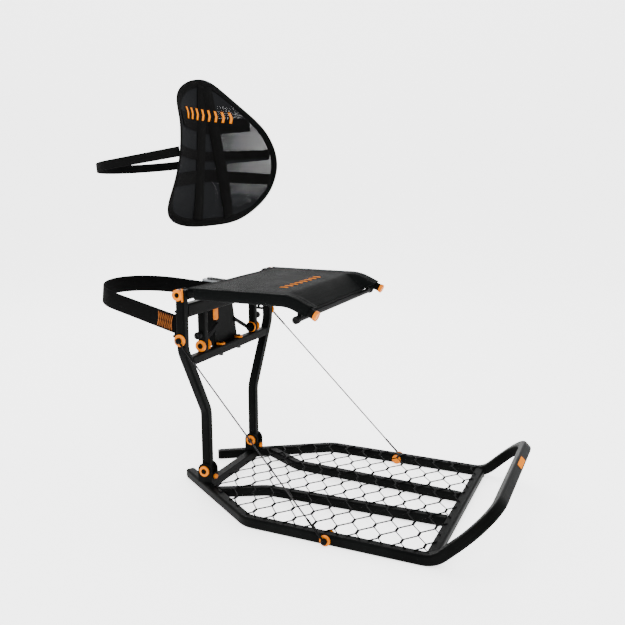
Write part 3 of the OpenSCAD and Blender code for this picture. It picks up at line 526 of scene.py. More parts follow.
def hex_profile_head(name, centre, axis, radius, height, socket=True):
    """A button-head screw with a round socket, or a chamfered nut."""
    axis = Vector(axis).normalized()
    if socket:
        dome = [(height * math.sin(a), radius * (0.62 + 0.38 * math.cos(a)))
                for a in (math.pi / 2 * i / 6 for i in range(7))]
        profile = [(0.0, radius)] + dome[1:]
        rim = profile[-1][1]
        profile += [(height, rim * 0.82), (height * 0.45, rim * 0.80), (height * 0.45, 1e-5)]
        return lathe(name, profile, centre, axis, 24)
    profile = [(0.0, radius * 0.94), (height * 0.12, radius), (height * 0.80, radius),
               (height, radius * 0.84), (height, radius * 0.58), (height * 0.78, radius * 0.54),
               (height * 0.78, 1e-5)]
    return lathe(name, profile, centre, axis, 6)


def screws(name, spots, body, *nodes, shafts=()):
    made = [hex_profile_head(f"{name}_{i}", *spot) for i, spot in enumerate(spots)]
    for i, (start, axis, length, radius) in enumerate(shafts):
        chamfer = 0.4 * MM
        made.append(lathe(f"{name}_shaft_{i}", [
            (0.0, radius - chamfer), (chamfer, radius), (length - chamfer, radius), (length, radius - chamfer)
        ], start, axis, 32))
    return finish_piece(join(name, made), "black_bolt", body, *nodes)


# ---------- fasteners, caps and knobs ----------

STUD = {side: Vector((side * 248.5 * MM, HINGE_Y, 394 * MM)) for side in (-1, 1)}
POST_HALF = 12.5 * MM
INNER_X, INNER_HALF, INNER_BOLT_Z = 140 * MM, 11 * MM, 359 * MM
CROSS_BOLT_X, CROSS_Z = 50 * MM, 330 * MM
WASHER = 5 * MM


def frame_fasteners():
    spots, shafts = [], []
    for s in (-1, 1):
        out = Vector((s, 0, 0))
        shafts.append((STUD[s], out, 4.5 * MM, 6 * MM))
        for face, way in ((INNER_X + INNER_HALF + WASHER, 1), (INNER_X - INNER_HALF - WASHER - 3 * MM, -1)):
            spots.append((Vector((s * face, HINGE_Y, INNER_BOLT_Z)), (s * way, 0, 0), 7.5 * MM, 4 * MM))
        shafts.append((Vector((s * (INNER_X - 25 * MM), HINGE_Y, INNER_BOLT_Z)), out, 42 * MM, 5.9 * MM))
        low = Vector((s * CROSS_BOLT_X, HINGE_Y, CROSS_Z - POST_HALF))
        top = Vector((s * CROSS_BOLT_X, HINGE_Y, CROSS_Z + POST_HALF + WASHER))
        spots.append((top, (0, 0, 1), 7 * MM, 4 * MM, False))
        spots.append((low, (0, 0, -1), 7 * MM, 7 * MM, False))
        shafts.append((low, (0, 0, 1), top.z - low.z, 5 * MM))
        pin_in = Vector((s * (RAIL_X - POST_HALF - 6 * MM), HINGE_Y, SEAT_Z))
        spots.append((pin_in, (-s, 0, 0), 8 * MM, 6 * MM, False))
        shafts.append((Vector((s * (RAIL_X - 24 * MM), HINGE_Y, SEAT_Z)), out, 48.5 * MM, 4.95 * MM))
    screws("frame_screws", spots, "frame", "frame_bolts", shafts=shafts)


def hinge_fasteners():
    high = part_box("hinge_pins")[1]
    spots, shafts = [], []
    head = 4 * MM
    reach = 53.0 * MM
    for s in (-1, 1):
        outer = s * high.x
        inner = s * (high.x - reach)
        spots.append((Vector((outer - s * head, HINGE_Y, 0)), (s, 0, 0), 7.5 * MM, head))
        spots.append((Vector((inner + s * head, HINGE_Y, 0)), (-s, 0, 0), 7.5 * MM, head, False))
        shafts.append((Vector((inner + s * head, HINGE_Y, 0)), (s, 0, 0), reach - 2 * head, 4.95 * MM))
    screws("hinge_screws", spots, "platform", "hinge_pins", shafts=shafts)


def ribbed_knob(name, start, axis, radius, length, ribs=7):
    """A moulded cap with rounded ends and fine rings round it."""
    edge = 1.6 * MM
    profile = [(0.0, radius - edge), (edge * 0.35, radius - edge * 0.35), (edge, radius)]
    for i in range(ribs):
        at = edge + (length - 2 * edge) * (i + 0.5) / ribs
        half = (length - 2 * edge) / ribs * 0.22
        profile += [(at - half, radius), (at - half * 0.4, radius - 0.6 * MM),
                    (at + half * 0.4, radius - 0.6 * MM), (at + half, radius)]
    profile += [(length - edge, radius), (length - edge * 0.35, radius - edge * 0.35),
                (length, radius - edge), (length, radius * 0.45), (length - 0.7 * MM, radius * 0.40),
                (length - 0.7 * MM, 1e-5)]
    return lathe(name, profile, start, axis, 36)


def knobs():
    caps_low, caps_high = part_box("crossbar_caps")
    mid = (caps_low + caps_high) / 2
    length, radius = 14 * MM, (caps_high.z - caps_low.z) / 2
    made = [ribbed_knob(f"crossbar_knob_{s}", Vector((s * (caps_high.x - length), mid.y, mid.z)),
                        (s, 0, 0), radius, length, 4) for s in (-1, 1)]
    finish_piece(join("crossbar_knobs", made), "black_plastic", "seat", "crossbar_caps")
    knob_low, knob_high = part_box("lock_knobs")
    mid = (knob_low + knob_high) / 2
    made = []
    for s in (-1, 1):
        made.append(ribbed_knob(f"lock_knob_{s}", Vector((s * (knob_high.x - length), mid.y, mid.z)),
                                (s, 0, 0), 10 * MM, length, 5))
        stem = Vector((s * (knob_high.x - 20 * MM), mid.y, mid.z))
        made.append(lathe(f"lock_stem_{s}", [(0, 5 * MM), (7 * MM, 5 * MM)], stem, (s, 0, 0), 20))
    finish_piece(join("lock_knob_pair", made), "black_plastic", "frame", "lock_knobs")


def rail_end_caps():
    """Push-on end caps of the seat rails, with a rim and a dished face."""
    way = Vector((0, -math.cos(RAIL_BEND), -math.sin(RAIL_BEND)))
    radius = 12.5 * MM
    start_z = RAIL_TOP_Z - (RAIL_FRONT - BEND_AT) * math.tan(RAIL_BEND)
    made = []
    for s in (-1, 1):
        start = Vector((s * RAIL_X, HINGE_Y - RAIL_FRONT, start_z))
        made.append(lathe(f"rail_cap_{s}", [
            (0.0, radius - 0.5 * MM), (0.4 * MM, radius), (3.0 * MM, radius), (3.4 * MM, radius - 0.6 * MM),
            (4.2 * MM, radius - 0.6 * MM), (4.6 * MM, radius), (7.4 * MM, radius),
            (8.6 * MM, radius - 0.7 * MM), (9.0 * MM, radius - 2.0 * MM), (8.6 * MM, radius - 3.4 * MM),
            (8.2 * MM, radius - 6 * MM), (8.1 * MM, 1e-5)
        ], start, way, 40))
    finish_piece(join("rail_end_caps", made), "orange_cap", "seat", "seat_end_caps")


def rubber_stops():
    low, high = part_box("deck_bumpers")
    mid_z, radius, length = (low.z + high.z) / 2, (high.z - low.z) / 2, high.y - low.y
    made = []
    for s in (-1, 1):
        start = Vector((s * (high.x - radius), high.y, mid_z))
        made.append(lathe(f"stop_{s}", [
            (0.0, radius), (length * 0.55, radius * 0.96), (length * 0.85, radius * 0.84),
            (length * 0.97, radius * 0.62), (length, radius * 0.35), (length, 1e-5)
        ], start, (0, -1, 0), 32))
    finish_piece(join("rubber_stops", made), "orange_bushing", "platform", "deck_bumpers")


frame_fasteners()
hinge_fasteners()
knobs()
rail_end_caps()
rubber_stops()


# ---------- support cables ----------

def support_cable(side, word):
    top = Vector((side * 257.7 * MM, HINGE_Y, 394 * MM))
    low = Vector(JOINT[f"cable_swing_{word}"]["pos_m"])
    way = (low - top).normalized()
    length = (low - top).length
    grip, strand, lay = 68 * MM, 0.66 * MM, 28 * MM
    steps = round((length - 2 * grip) / (2.4 * MM))
    straight = [top + way * (grip + (length - 2 * grip) * i / steps) for i in range(steps + 1)]
    across = way.orthogonal().normalized()
    other = way.cross(across)
    made = [sweep(f"rope_core_{word}", [straight[0], straight[-1]], round_section(0.8 * MM, 8))]
    for k in range(6):
        path = []
        for i, p in enumerate(straight):
            a = 2 * math.pi * (k / 6 + i * (length - 2 * grip) / steps / lay)
            path.append(p + (across * math.cos(a) + other * math.sin(a)) * (2 * MM - strand))
        made.append(sweep(f"strand_{word}_{k}", path, round_section(strand, 6)))
    finish_piece(join(f"wire_rope_{word}", made), "wire_rope", f"support_cable_{word}", f"cable_{word}")

    full, neck = 2.85 * MM, 2.5 * MM
    sleeve = [(4 * MM, 2.3 * MM), (6 * MM, 2.7 * MM), (20 * MM, full)]
    for i in range(3):
        at = (26 + 11 * i) * MM
        sleeve += [(at, full), (at + 1.5 * MM, neck), (at + 4.5 * MM, neck), (at + 6 * MM, full)]
    sleeve += [(63 * MM, 2.8 * MM), (67 * MM, 2.4 * MM), (68 * MM, 2.1 * MM)]
    made = [lathe(f"sleeve_top_{word}", sleeve, top, way, 24),
            lathe(f"sleeve_low_{word}", sleeve, low, -way, 24)]
    half, eye = 3.7 * MM, 8 * MM
    for end, centre in (("top", top), ("low", low)):
        start = centre - Vector((side * half, 0, 0))
        made.append(lathe(f"eye_{end}_{word}", [
            (0.0, 5.5 * MM), (0.0, eye - 1.2 * MM), (0.5 * MM, eye - 0.3 * MM), (1.4 * MM, eye),
            (2 * half - 1.4 * MM, eye), (2 * half - 0.5 * MM, eye - 0.3 * MM), (2 * half, eye - 1.2 * MM),
            (2 * half, 5.5 * MM), (2 * half + 1.2 * MM, 5.2 * MM), (2 * half + 2.3 * MM, 3.8 * MM),
            (2 * half + 2.5 * MM, 2.8 * MM), (2 * half + 0.9 * MM, 2.6 * MM), (2 * half + 0.9 * MM, 1e-5)
        ], start, (side, 0, 0), 36))
    finish_piece(join(f"cable_fittings_{word}", made), "cable_sleeve", f"support_cable_{word}",
                 f"cable_{word}_ends")


support_cable(-1, "left")
support_cable(1, "right")


# ---------- expanded deck sheet ----------

def deck_sheet():
    """Slanted strands and joined bonds of expanded metal, cut to the platform outline."""
    low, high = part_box("deck_mesh")
    mid_z = (low.z + high.z) / 2
    pitch_x, row, bond = 100 * MM, 28 * MM, 9 * MM
    first = HINGE_Y - 44 * MM
    wide, thick, tilt = 3.6 * MM, 1.9 * MM, math.radians(30)
    verts, faces = [], []

    def bar(a, b, width):
        way = (b - a).normalized()
        side = way.cross(Vector((0, 0, 1))).normalized()
        if side.y < 0:
            side = -side
        across = side * math.cos(tilt) + Vector((0, 0, 1)) * math.sin(tilt)
        out = way.cross(across).normalized()
        corner = [(1, 0.28), (0.28 * 2.4, 1), (-0.28 * 2.4, 1), (-1, 0.28)]
        ring = [(u * width / 2, v * thick / 2) for u, v in corner + [(-u, -v) for u, v in corner]]
        base = len(verts)
        for p in (a, b):
            verts.extend(p + across * u + out * v for u, v in ring)
        n = len(ring)
        for i in range(n):
            j = (i + 1) % n
            faces.append((base + i, base + j, base + n + j, base + n + i))
        faces.append(tuple(base + i for i in reversed(range(n))))
        faces.append(tuple(base + n + i for i in range(n)))

    rows = math.ceil((high.y - low.y) / row) + 1
    for j in range(-1, rows + 1):
        y = first - j * row
        for i in range(-4, 5):
            x = i * pitch_x + pitch_x / 2 + (j % 2) * pitch_x / 2
            here = Vector((x, y, mid_z))
            bar(here - Vector((bond + MM, 0, 0)), here + Vector((bond + MM, 0, 0)), wide * 1.75)
            for s in (-1, 1):
                a = here + Vector((s * bond, 0, 0))
                b = here + Vector((s * (pitch_x / 2 - bond), -row, 0))
                over = (b - a).normalized() * 0.8 * MM
                bar(a - over, b + over, wide)
    obj = new_mesh("expanded_deck", verts, faces, smooth=False)
    bm = bmesh.new()
    bm.from_mesh(obj.data)
    slope, hip_at = 68 / 102, 206 * MM      # the sides draw in towards the hinge, from hip_at on
    hip = high.x - hip_at * slope
    inset = 1.5 * MM
    cuts = [
        ((high.x - inset, 0, 0), (1, 0, 0)), ((low.x + inset, 0, 0), (-1, 0, 0)),
        ((0, high.y - inset, 0), (0, 1, 0)), ((0, low.y + inset, 0), (0, -1, 0)),
        ((hip - inset, HINGE_Y, 0), (1, slope, 0)), ((-hip + inset, HINGE_Y, 0), (-1, slope, 0)),
    ]
    for point, normal in cuts:
        parts = bm.verts[:] + bm.edges[:] + bm.faces[:]
        bmesh.ops.bisect_plane(bm, geom=parts, plane_co=point, plane_no=normal, clear_outer=True)
        rims = [e for e in bm.edges if e.is_boundary]
        bmesh.ops.holes_fill(bm, edges=rims, sides=0)
    bmesh.ops.recalc_face_normals(bm, faces=bm.faces)
    bm.to_mesh(obj.data)
    bm.free()
    finish_piece(obj, "deck_coat", "platform", "deck_mesh")


deck_sheet()


# ---------- straps ----------

def reach_round(side_x, side_y):
    return math.atan2(side_x, -side_y) + math.acos(TRUNK_R / math.hypot(side_x, side_y))


def band_line(side_x, side_y, lift, arc_steps=72, run_steps=24):
    """Centre line of a band from the left side point round the trunk to the right one, as (x, y)."""
    reach = reach_round(side_x, side_y)
    r = TRUNK_R + lift
    out = Vector((math.sin(reach), -math.cos(reach)))
    side = Vector((side_x, side_y)) + out * lift
    foot = out * r
    left, right = [], []
    for i in range(run_steps):
        p = side.lerp(foot, i / run_steps)
        left.append(Vector((-p.x, p.y)))
        right.append(Vector((p.x, p.y)))
    turn = 2 * math.pi - 2 * reach
    arc = [Vector((r * math.sin(a), -r * math.cos(a)))
           for a in (-reach - turn * i / arc_steps for i in range(arc_steps + 1))]
    return left + arc + right[::-1], out, reach


STRAP_W, STRAP_T, STRAP_Z, STRAP_TILT = 50 * MM, 2.6 * MM, 430 * MM, math.radians(7)
STRAP_SIDE = (232 * MM, HINGE_Y + 25 * MM)
STRAP_UP = Vector((0, -math.sin(STRAP_TILT), math.cos(STRAP_TILT)))


def in_slab(x, y, rise=0.0):
    ahead = y - HINGE_Y
    return Vector((x, HINGE_Y + ahead * math.cos(STRAP_TILT), STRAP_Z + ahead * math.sin(STRAP_TILT))) \
        + STRAP_UP * rise


def trunk_strap():
    lift = 1.5 * MM
    line, out, _ = band_line(*STRAP_SIDE, lift)
    pin = Vector(STRAP_SIDE) - out * 4.3 * MM
    run = (Vector(STRAP_SIDE) - out * TRUNK_R).normalized()
    loop = []
    for i in range(1, 20):
        a = math.radians(285 * i / 19)
        loop.append(pin + (out * math.cos(a) + run * math.sin(a)) * (4.3 * MM + lift))
    whole = [Vector((-p.x, p.y)) for p in loop[::-1]] + line + loop
    path = [in_slab(p.x, p.y) for p in whole]
    band = sweep("trunk_strap_webbing", path, flat_section(STRAP_W, STRAP_T), up=STRAP_UP)
    finish_piece(band, "webbing", "frame", "trunk_strap")

    # sewn end on the left run: a doubled layer with zigzag rows of thread
    start = Vector((-STRAP_SIDE[0], STRAP_SIDE[1]))
    away = Vector((-out.x, out.y))
    along = Vector((run.x, -run.y))
    level = STRAP_T + 0.75 * MM
    flap_path = []
    for i in range(13):
        p = start + away * level + along * (4 + 66 * i / 12) * MM
        flap_path.append(in_slab(p.x, p.y))
    flap = sweep("sewn_flap", flap_path, flat_section(STRAP_W - 2 * MM, 1.3 * MM), up=STRAP_UP)
    finish_piece(flap, "webbing", "frame")
    made, turns, half = [], 4, STRAP_W / 2 - 6 * MM
    for row in range(2):
        zigzag = []
        for i in range(2 * turns + 1):
            p = start + away * (level + 0.9 * MM) + along * (8 + 58 * i / (2 * turns)) * MM
            rise = half if (i + row) % 2 else -half
            zigzag.append(in_slab(p.x, p.y, rise))
        made.append(sweep(f"zigzag_{row}", zigzag, round_section(0.9 * MM, 8), up=STRAP_UP))
    finish_piece(join("zigzag_thread", made), "stitched_patch", "frame", "strap_stitching")


BACK_STRAP_W, BACK_STRAP_Z, BACK_STRAP_TILT = 25 * MM, 870 * MM, math.radians(6)
BACK_STRAP_SIDE = (236 * MM, HINGE_Y - 8.825 * MM)


def backrest_strap():
    line, _, _ = band_line(*BACK_STRAP_SIDE, 1.0 * MM)
    fall, run = math.sin(BACK_STRAP_TILT), math.cos(BACK_STRAP_TILT)
    path = []
    for p in line:
        ahead = p.y - HINGE_Y
        path.append(Vector((p.x, HINGE_Y + ahead * run, BACK_STRAP_Z - ahead * fall)))
    section = flat_section(BACK_STRAP_W, 1.9 * MM)
    band = sweep("backrest_strap_webbing", path, section, up=Vector((0, fall, run)))
    finish_piece(band, "webbing", "backrest", "backrest_strap")


trunk_strap()
backrest_strap()


# ---------- backrest ----------

BACK_A, BACK_WIDE_Z, BACK_UP, BACK_DOWN = 269 * MM, 805 * MM, 265 * MM, 133 * MM
BACK_TOP_Y, BACK_TUCK, BACK_WRAP, WRAP_PEAK = -TRUNK_R - 4 * MM, 21 * MM, 96 * MM, 0.35
RIM_W, PANEL_T, BAND_T = 22 * MM, 2.4 * MM, 1.3 * MM
LEVEL_BANDS = ((945 * MM, 0.08, 40 * MM), (863 * MM, 0.055, 26 * MM), (811 * MM, -0.05, 33 * MM))
UPRIGHT_W, UPRIGHT_LOW_X, UPRIGHT_TOP_X = 48 * MM, 86 * MM, 6 * MM


def on_back(x, z, depth):
    """A point of the panel, which wraps forward at its sides; depth is measured ahead of its middle."""
    s = (BACK_WIDE_Z + BACK_UP - z) / (BACK_UP + BACK_DOWN)
    wrap = 1 - ((s - WRAP_PEAK) / (0.295 if s < WRAP_PEAK else 0.61)) ** 2
    return Vector((x, BACK_TOP_Y - BACK_TUCK * s - BACK_WRAP * wrap * (x / BACK_A) ** 2 - depth, z))


def back_out(x, z):
    across = on_back(x + MM, z, 0) - on_back(x - MM, z, 0)
    return across.cross(on_back(x, z + MM, 0) - on_back(x, z - MM, 0)).normalized()


def bulge(up, inset):
    return (BACK_UP - inset, 1.9) if up else (BACK_DOWN - inset, 3)


def outline(inset, count):
    """Points (x, z) of the panel outline moved in by inset, evenly spaced."""
    fine, run = [], [0.0]
    for i in range(3001):
        c, s = math.cos(2 * math.pi * i / 3000), math.sin(2 * math.pi * i / 3000)
        rise, n = bulge(s > 0, inset)
        fine.append(Vector((math.copysign(abs(c) ** (2 / n), c) * (BACK_A - inset),
                            BACK_WIDE_Z + math.copysign(abs(s) ** (2 / n), s) * rise)))
        if i:
            run.append(run[-1] + (fine[i] - fine[i - 1]).length)
    points, j = [], 0
    for i in range(count):
        want = run[-1] * i / count
        while run[j + 1] < want:
            j += 1
        points.append(fine[j].lerp(fine[j + 1], (want - run[j]) / (run[j + 1] - run[j])))
    return points


def half_width(z, inset):
    """Half width of the outline at height z, or 0 outside it."""
    rise, n = bulge(z > BACK_WIDE_Z, inset)
    share = abs(z - BACK_WIDE_Z) / rise
    return 0.0 if share >= 1 else (BACK_A - inset) * (1 - share ** n) ** (1 / n)


def back_net():
    """Knitted net: a lattice of cells turned by 45 degrees, each with a hole."""
    pitch, hole = 4.2 * MM, 0.36
    inset = 9 * MM
    ids, verts, faces = {}, [], []

    def vertex(key, x, z):
        if key not in ids:
            ids[key] = len(verts)
            verts.append(on_back(x, BACK_WIDE_Z + z, 0))
        return ids[key]

    n = int(BACK_A / pitch) + 2
    for i in range(-2 * n, 2 * n + 1):
        for j in range(-2 * n, 2 * n + 1):
            if (i + j) % 2:
                continue
            cx, cz = i * pitch / 2, j * pitch / 2
            if abs(cx) >= half_width(BACK_WIDE_Z + cz, inset):
                continue
            outer = [(i + 1, j), (i, j + 1), (i - 1, j), (i, j - 1)]
            corner = [vertex(c, c[0] * pitch / 2, c[1] * pitch / 2) for c in outer]
            inner = [vertex((i, j, k), cx + (c[0] - i) * hole * pitch / 2, cz + (c[1] - j) * hole * pitch / 2)
                     for k, c in enumerate(outer)]
            for k in range(4):
                m = (k + 1) % 4
                faces.append((corner[k], corner[m], inner[m], inner[k]))
    net = new_mesh("back_net", verts, faces)
    thicken(net, 0.9 * MM)
    finish_piece(net, "mesh_fabric", "backrest", "backrest_mesh")


def back_rim():
    """Padded edge bound in tape, with a row of stitches inside it."""
    turns = 260
    middle = outline(RIM_W / 2, turns)
    path = [on_back(x, z, 0) for x, z in middle]
    outs = [back_out(x, z) for x, z in middle]
    section = []
    for i in range(20):
        a = 2 * math.pi * i / 20
        c, s = math.cos(a), math.sin(a)
        section.append((math.copysign(abs(c) ** 0.75, c) * RIM_W / 2,
                        math.copysign(abs(s) ** 0.9, s) * 2.7 * MM))
    rim = sweep("bound_rim", path, section, up=outs, closed=True)
    finish_piece(rim, "rim_fabric", "backrest", "backrest_rim")
    rows = []
    for k, (inset, lift) in enumerate(((RIM_W - 3.5 * MM, 2.3), (RIM_W * 0.3, 2.8))):
        spots = outline(inset, turns)
        spots.append(spots[0])
        line = [on_back(x, z, lift * MM) for x, z in spots]
        normals = [back_out(x, z) for x, z in spots]
        rows.append(stitches(f"rim_stitch_{k}", line, normals, pitch=5 * MM))
    finish_piece(join("rim_stitches", rows), "rim_fabric", "backrest", material=BLACK_THREAD)


def back_band(name, points, width, depth):
    """A webbing band along (x, z) points on the panel, with a stitch row at each edge."""
    path = [on_back(x, z, depth) for x, z in points]
    outs = [back_out(x, z) for x, z in points]
    section = [(b, a) for a, b in flat_section(width, BAND_T)]
    band = sweep(name, path, section, up=outs)
    rows = []
    for k, s in enumerate((-1, 1)):
        line = []
        for i, p in enumerate(path):
            way = (path[min(i + 1, len(path) - 1)] - path[max(i - 1, 0)]).normalized()
            line.append(p + way.cross(outs[i]).normalized() * s * (width / 2 - 3 * MM)
                        + outs[i] * (BAND_T / 2 + 0.15 * MM))
        rows.append(stitches(f"{name}_row_{k}", line, outs))
    return band, rows


def band_end(place, width):
    """How far along a band runs, in mm steps, before a corner of its end reaches the rim."""
    reach = 0
    while all(abs(x) < half_width(z, RIM_W - 5 * MM) for x, z in place(reach * MM, width / 2)):
        reach += 1
    return (reach - 1) * MM


def back_bands():
    bands, rows = [], []
    steps = 60
    depth = PANEL_T / 2 + 0.2 * MM + BAND_T / 2
    for k, (level, rise, width) in enumerate(LEVEL_BANDS):
        def height(x, level=level, rise=rise):
            return level + rise * (math.hypot(x, 15 * MM) - 15 * MM)

        half = band_end(lambda x, h, z=height: [(x, z(x) - h), (x, z(x) + h)], width)
        points = [(x, height(x)) for x in (half * (2 * i / steps - 1) for i in range(steps + 1))]
        band, made = back_band(f"band_{k}", points, width, depth)
        bands.append(band)
        rows += made
    foot, head = BACK_WIDE_Z - BACK_DOWN, BACK_WIDE_Z + BACK_UP
    for k, s in enumerate((-1, 1)):
        def side(z):
            return UPRIGHT_LOW_X + (UPRIGHT_TOP_X - UPRIGHT_LOW_X) * (z - foot) / (head - foot)

        up = band_end(lambda r, h: [(side(BACK_WIDE_Z + r) + h, BACK_WIDE_Z + r)], UPRIGHT_W)
        down = band_end(lambda r, h: [(side(BACK_WIDE_Z - r) + h, BACK_WIDE_Z - r)], UPRIGHT_W)
        levels = [BACK_WIDE_Z - down + (down + up) * i / steps for i in range(steps + 1)]
        points = [(s * side(z), z) for z in levels]
        band, made = back_band(f"upright_{k}", points, UPRIGHT_W, depth + (0.9 + 0.8 * k) * MM)
        bands.append(band)
        rows += made
    finish_piece(join("back_webbing", bands), "webbing", "backrest", "backrest_bands")
    finish_piece(join("back_webbing_stitches", rows), "webbing", "backrest", material=BLACK_THREAD)


def printed_marks(name, count, pitch, height, slant, place, body, slot, *nodes):
    """A plain row of slanted chevron bars laid on a surface; place(u, v) gives its points."""
    verts, faces = [], []
    n = 6
    thick = pitch * 0.16
    for k in range(count):
        centre = (k - (count - 1) / 2) * pitch
        base = len(verts)
        for j in range(n + 1):
            v = (j / n - 0.5) * height
            lean = slant * (0.5 - abs(j / n - 0.5)) * height
            for u in (-thick, thick):
                verts.append(place(centre + lean + u, v))
        for j in range(n):
            a = base + 2 * j
            faces.append((a, a + 1, a + 3, a + 2))
    obj = new_mesh(name, verts, faces)
    thicken(obj, 0.5 * MM)
    return finish_piece(outward(obj), slot, body, *nodes)


def back_marks():
    def place(u, v):
        return on_back(-8 * MM + u, 974 * MM + v, PANEL_T / 2 + 2.9 * MM)

    printed_marks("back_marks", 8, 32 * MM, 30 * MM, 0.4, place, "backrest", "orange_print", "backrest_badge")


back_net()
back_rim()
back_bands()
back_marks()


# ---------- seat ----------

BEND_R = 110 * MM
BEND_START = BEND_AT - BEND_R * math.tan(RAIL_BEND / 2)
BEND_END = BEND_START + BEND_R * math.sin(RAIL_BEND)
SLEEVE_R = 15 * MM
SEAT_BACK, SEAT_FRONT = 24 * MM, 359 * MM
BAR_AT, BAR_R = 335 * MM, 7 * MM                  # the crossbar, ahead of the seat hinge
BAR_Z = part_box("seat_crossbar")[0].z + BAR_R
LIP_AT, LIP_X, LIP_GAP = BAR_AT - 52 * MM, RAIL_X - 40 * MM, 4 * MM


def rail_line(d):
    """Height of the rail's centre line and its slope angle, d ahead of the seat hinge."""
    if d <= BEND_START:
        return RAIL_TOP_Z, 0.0
    if d <= BEND_END:
        a = math.asin((d - BEND_START) / BEND_R)
        return RAIL_TOP_Z - BEND_R * (1 - math.cos(a)), a
    end = RAIL_TOP_Z - BEND_R * (1 - math.cos(RAIL_BEND))
    return end - (d - BEND_END) * math.tan(RAIL_BEND), RAIL_BEND


def above_rail(x, d, lift):
    z, a = rail_line(d)
    return Vector((x, HINGE_Y - d - lift * math.sin(a), z + lift * math.cos(a)))


def rail_out(d):
    a = rail_line(d)[1]
    return Vector((0, -math.sin(a), math.cos(a)))


def side_share(x):
    """0 on the front lip between the rails, 1 on the strips that follow them."""
    t = min(1.0, max(0.0, (abs(x) - LIP_X + 8 * MM) / (16 * MM)))
    return t * t * (3 - 2 * t)


def front_edge(x):
    return BAR_AT + (SEAT_FRONT - BAR_AT) * side_share(x)


PANEL_EDGE = RAIL_X + 9 * MM


def panel_lift(x, v):
    """Height of the sling above the rails: round over the sleeves, with a shallow sag between."""
    over = abs(x) - RAIL_X
    if over > 0:
        return math.sqrt((SLEEVE_R + 0.4 * MM) ** 2 - over * over)
    share = abs(x) / RAIL_X
    sag = (1 - share ** 3) * (2.8 * MM + 2.4 * MM * math.sin(math.pi * min(1.0, v)))
    lip = 5.0 * MM * max(0.0, v - 0.80) / 0.20 * (1 - share ** 4)
    pull = 0.5 * MM * math.sin(26 * v + 5 * share) * share ** 5
    ripple = 0.7 * MM * smooth_noise(Vector((x * 9, v * 3.0, 0.3))) * (1 - share ** 4)
    return SLEEVE_R + 0.4 * MM - sag - lip + pull + ripple


def panel_point(x, v, lift=0.0):
    d = SEAT_BACK + (front_edge(x) - SEAT_BACK) * v
    point = above_rail(x, d, panel_lift(x, v) + lift)
    if d > LIP_AT:
        start = above_rail(x, LIP_AT, panel_lift(x, v) + lift).z
        fall = min(1.0, (d - LIP_AT) / (BAR_AT - LIP_AT)) ** 1.25
        lip_z = start + (BAR_Z + BAR_R + LIP_GAP + lift - start) * fall
        point = Vector((x, HINGE_Y - d, lip_z)).lerp(point, side_share(x))
    return point


def seat_panel():
    nu, nv = 56, 96
    cloth = sheet_grid("seat_cloth", lambda u, v: panel_point((2 * v - 1) * PANEL_EDGE, u), nu, nv)
    thicken(cloth, 2.0 * MM, offset=-1)
    finish_piece(outward(cloth), "seat_fabric", "seat", "seat_sling")


def seat_sleeves():
    steps = 60
    for s, word in ((-1, "left"), (1, "right")):
        path, ups = [], []
        for i in range(steps + 1):
            d = SEAT_BACK + 20 * MM + (SEAT_FRONT - 20 * MM - SEAT_BACK) * i / steps
            path.append(above_rail(s * RAIL_X, d, 0))
            ups.append(rail_out(d))
        section = []
        for i in range(28):
            a = 2 * math.pi * i / 28
            c, t = math.cos(a), math.sin(a)
            section.append((math.copysign(abs(c) ** 0.82, c) * (SLEEVE_R - 1.0 * MM),
                            math.copysign(abs(t) ** 0.82, t) * (SLEEVE_R - 0.6 * MM)))

        def pucker(t, side=s):
            fold = 0.5 + 0.5 * math.sin(70 * t + side)
            return 1 - 0.018 * fold - 0.012 * smooth_noise(Vector((t * 22, side, 0)))

        tube = sweep(f"seat_sleeve_{word}", path, section, up=ups, scale=pucker)
        finish_piece(tube, "seat_fabric", "seat")


def seat_hems():
    """Rolled front and rear edges of the sling, and its rows of stitches."""
    n = 60
    xs = [(-PANEL_EDGE + 6 * MM) + 2 * (PANEL_EDGE - 6 * MM) * i / n for i in range(n + 1)]
    made = []
    for name, v in (("front", 1.0), ("rear", 0.0)):
        path = [panel_point(x, v, -1.6 * MM) for x in xs]
        section = round_section(3.2 * MM, 14, 0.8)
        made.append(sweep(f"seat_hem_{name}", path, section, up=Vector((0, 0, 1))))
    finish_piece(join("seat_hems", made), "seat_fabric", "seat")
    rows = []
    up = [Vector((0, 0, 1))] * (n + 1)
    for k, v in enumerate((0.955, 0.925, 0.035)):
        rows.append(stitches(f"hem_row_{k}", [panel_point(x, v, 0.25 * MM) for x in xs], up))
    for s in (-1, 1):
        for k, x in enumerate((RAIL_X + 5 * MM, RAIL_X - 19 * MM)):
            line = [panel_point(s * x, i / n, 0.25 * MM) for i in range(n + 1)]
            normals = [rail_out(SEAT_BACK + (SEAT_FRONT - SEAT_BACK) * i / n) for i in range(n + 1)]
            rows.append(stitches(f"side_row_{s}_{k}", line, normals))
    finish_piece(join("seat_stitches", rows), "seat_fabric", "seat", material=BLACK_THREAD)


def seat_marks():
    def place(u, v):
        d = 228 * MM - v
        share = (d - SEAT_BACK) / (front_edge(u) - SEAT_BACK)
        return panel_point(u, share, 0.35 * MM)

    printed_marks("seat_marks", 8, 30 * MM, 22 * MM, 0.4, place, "seat", "orange_print", "seat_badge")


seat_panel()
seat_sleeves()
seat_hems()
seat_marks()


# ---------- stage, lights and camera ----------

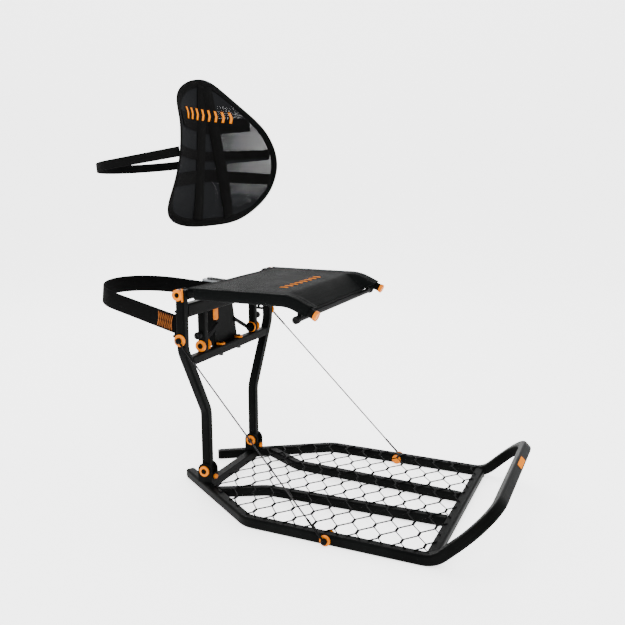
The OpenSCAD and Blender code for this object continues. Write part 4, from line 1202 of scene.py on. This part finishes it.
def stage():
    """A pale floor that curves up into a backdrop far behind the object."""
    floor_z = cad_low.z - 0.4 * MM
    verts, faces = [], []
    reach, wall, bend = 9.0, 7.0, 3.0
    profile = [(-reach, 0.0), (2.5, 0.0)]
    profile += [(2.5 + bend * math.sin(a), bend * (1 - math.cos(a)))
                for a in (math.pi / 2 * i / 14 for i in range(1, 15))]
    profile.append((2.5 + bend, wall))
    toward = Vector((0.89692, 0.40159, 0)).normalized()
    side = Vector((-toward.y, toward.x, 0))
    for along, up in profile:
        for s in (-1, 1):
            verts.append(toward * along + side * (s * 9.0) + Vector((0, 0, floor_z + up)))
    for i in range(len(profile) - 1):
        faces.append((2 * i, 2 * i + 1, 2 * i + 3, 2 * i + 2))
    floor = new_mesh("pale_floor", verts, faces)
    p = Paint("floor_paint")
    cloud = p.noise(0.9, 3)
    p.colour(p.blend(cloud, (0.93, 0.93, 0.93), (0.96, 0.96, 0.96)))
    p.rough(p.spread(cloud, 0.75, 0.9))
    p.bsdf.inputs["Emission Color"].default_value = (1, 1, 1, 1)
    p.bsdf.inputs["Emission Strength"].default_value = 1.9
    floor.data.materials.append(p.mat)


def area_light(name, place, target, size, power, tint=(1, 1, 1)):
    data = bpy.data.lights.new(name, "AREA")
    data.shape = "DISK"
    data.size = size
    data.energy = power
    data.color = tint
    obj = bpy.data.objects.new(name, data)
    obj.location = place
    obj.rotation_euler = (Vector(target) - Vector(place)).to_track_quat("-Z", "Y").to_euler()
    bpy.context.scene.collection.objects.link(obj)


def lights():
    middle = (cad_low + cad_high) / 2
    area_light("key", (-2.4, -2.2, 3.0), middle, 1.6, 90)
    area_light("fill", (-2.6, 1.8, 1.4), middle, 2.0, 25)
    area_light("top", (0.3, -0.5, 3.2), middle, 2.2, 50)
    area_light("back", (2.2, 1.6, 2.2), middle, 1.6, 30)
    world = bpy.data.worlds.new("studio")
    world.use_nodes = True
    world.node_tree.nodes["Background"].inputs["Color"].default_value = (1, 1, 1, 1)
    world.node_tree.nodes["Background"].inputs["Strength"].default_value = 1.7
    bpy.context.scene.world = world


def camera():
    data = bpy.data.cameras.new("camera")
    data.sensor_width = 36.0
    data.lens = 42.27
    obj = bpy.data.objects.new("camera", data)
    obj.location = (-1.7927, -1.3008, 0.8150)
    obj.rotation_euler = (math.radians(79.334), 0, math.radians(-65.88))
    bpy.context.scene.collection.objects.link(obj)
    bpy.context.scene.camera = obj


stage()
lights()
camera()
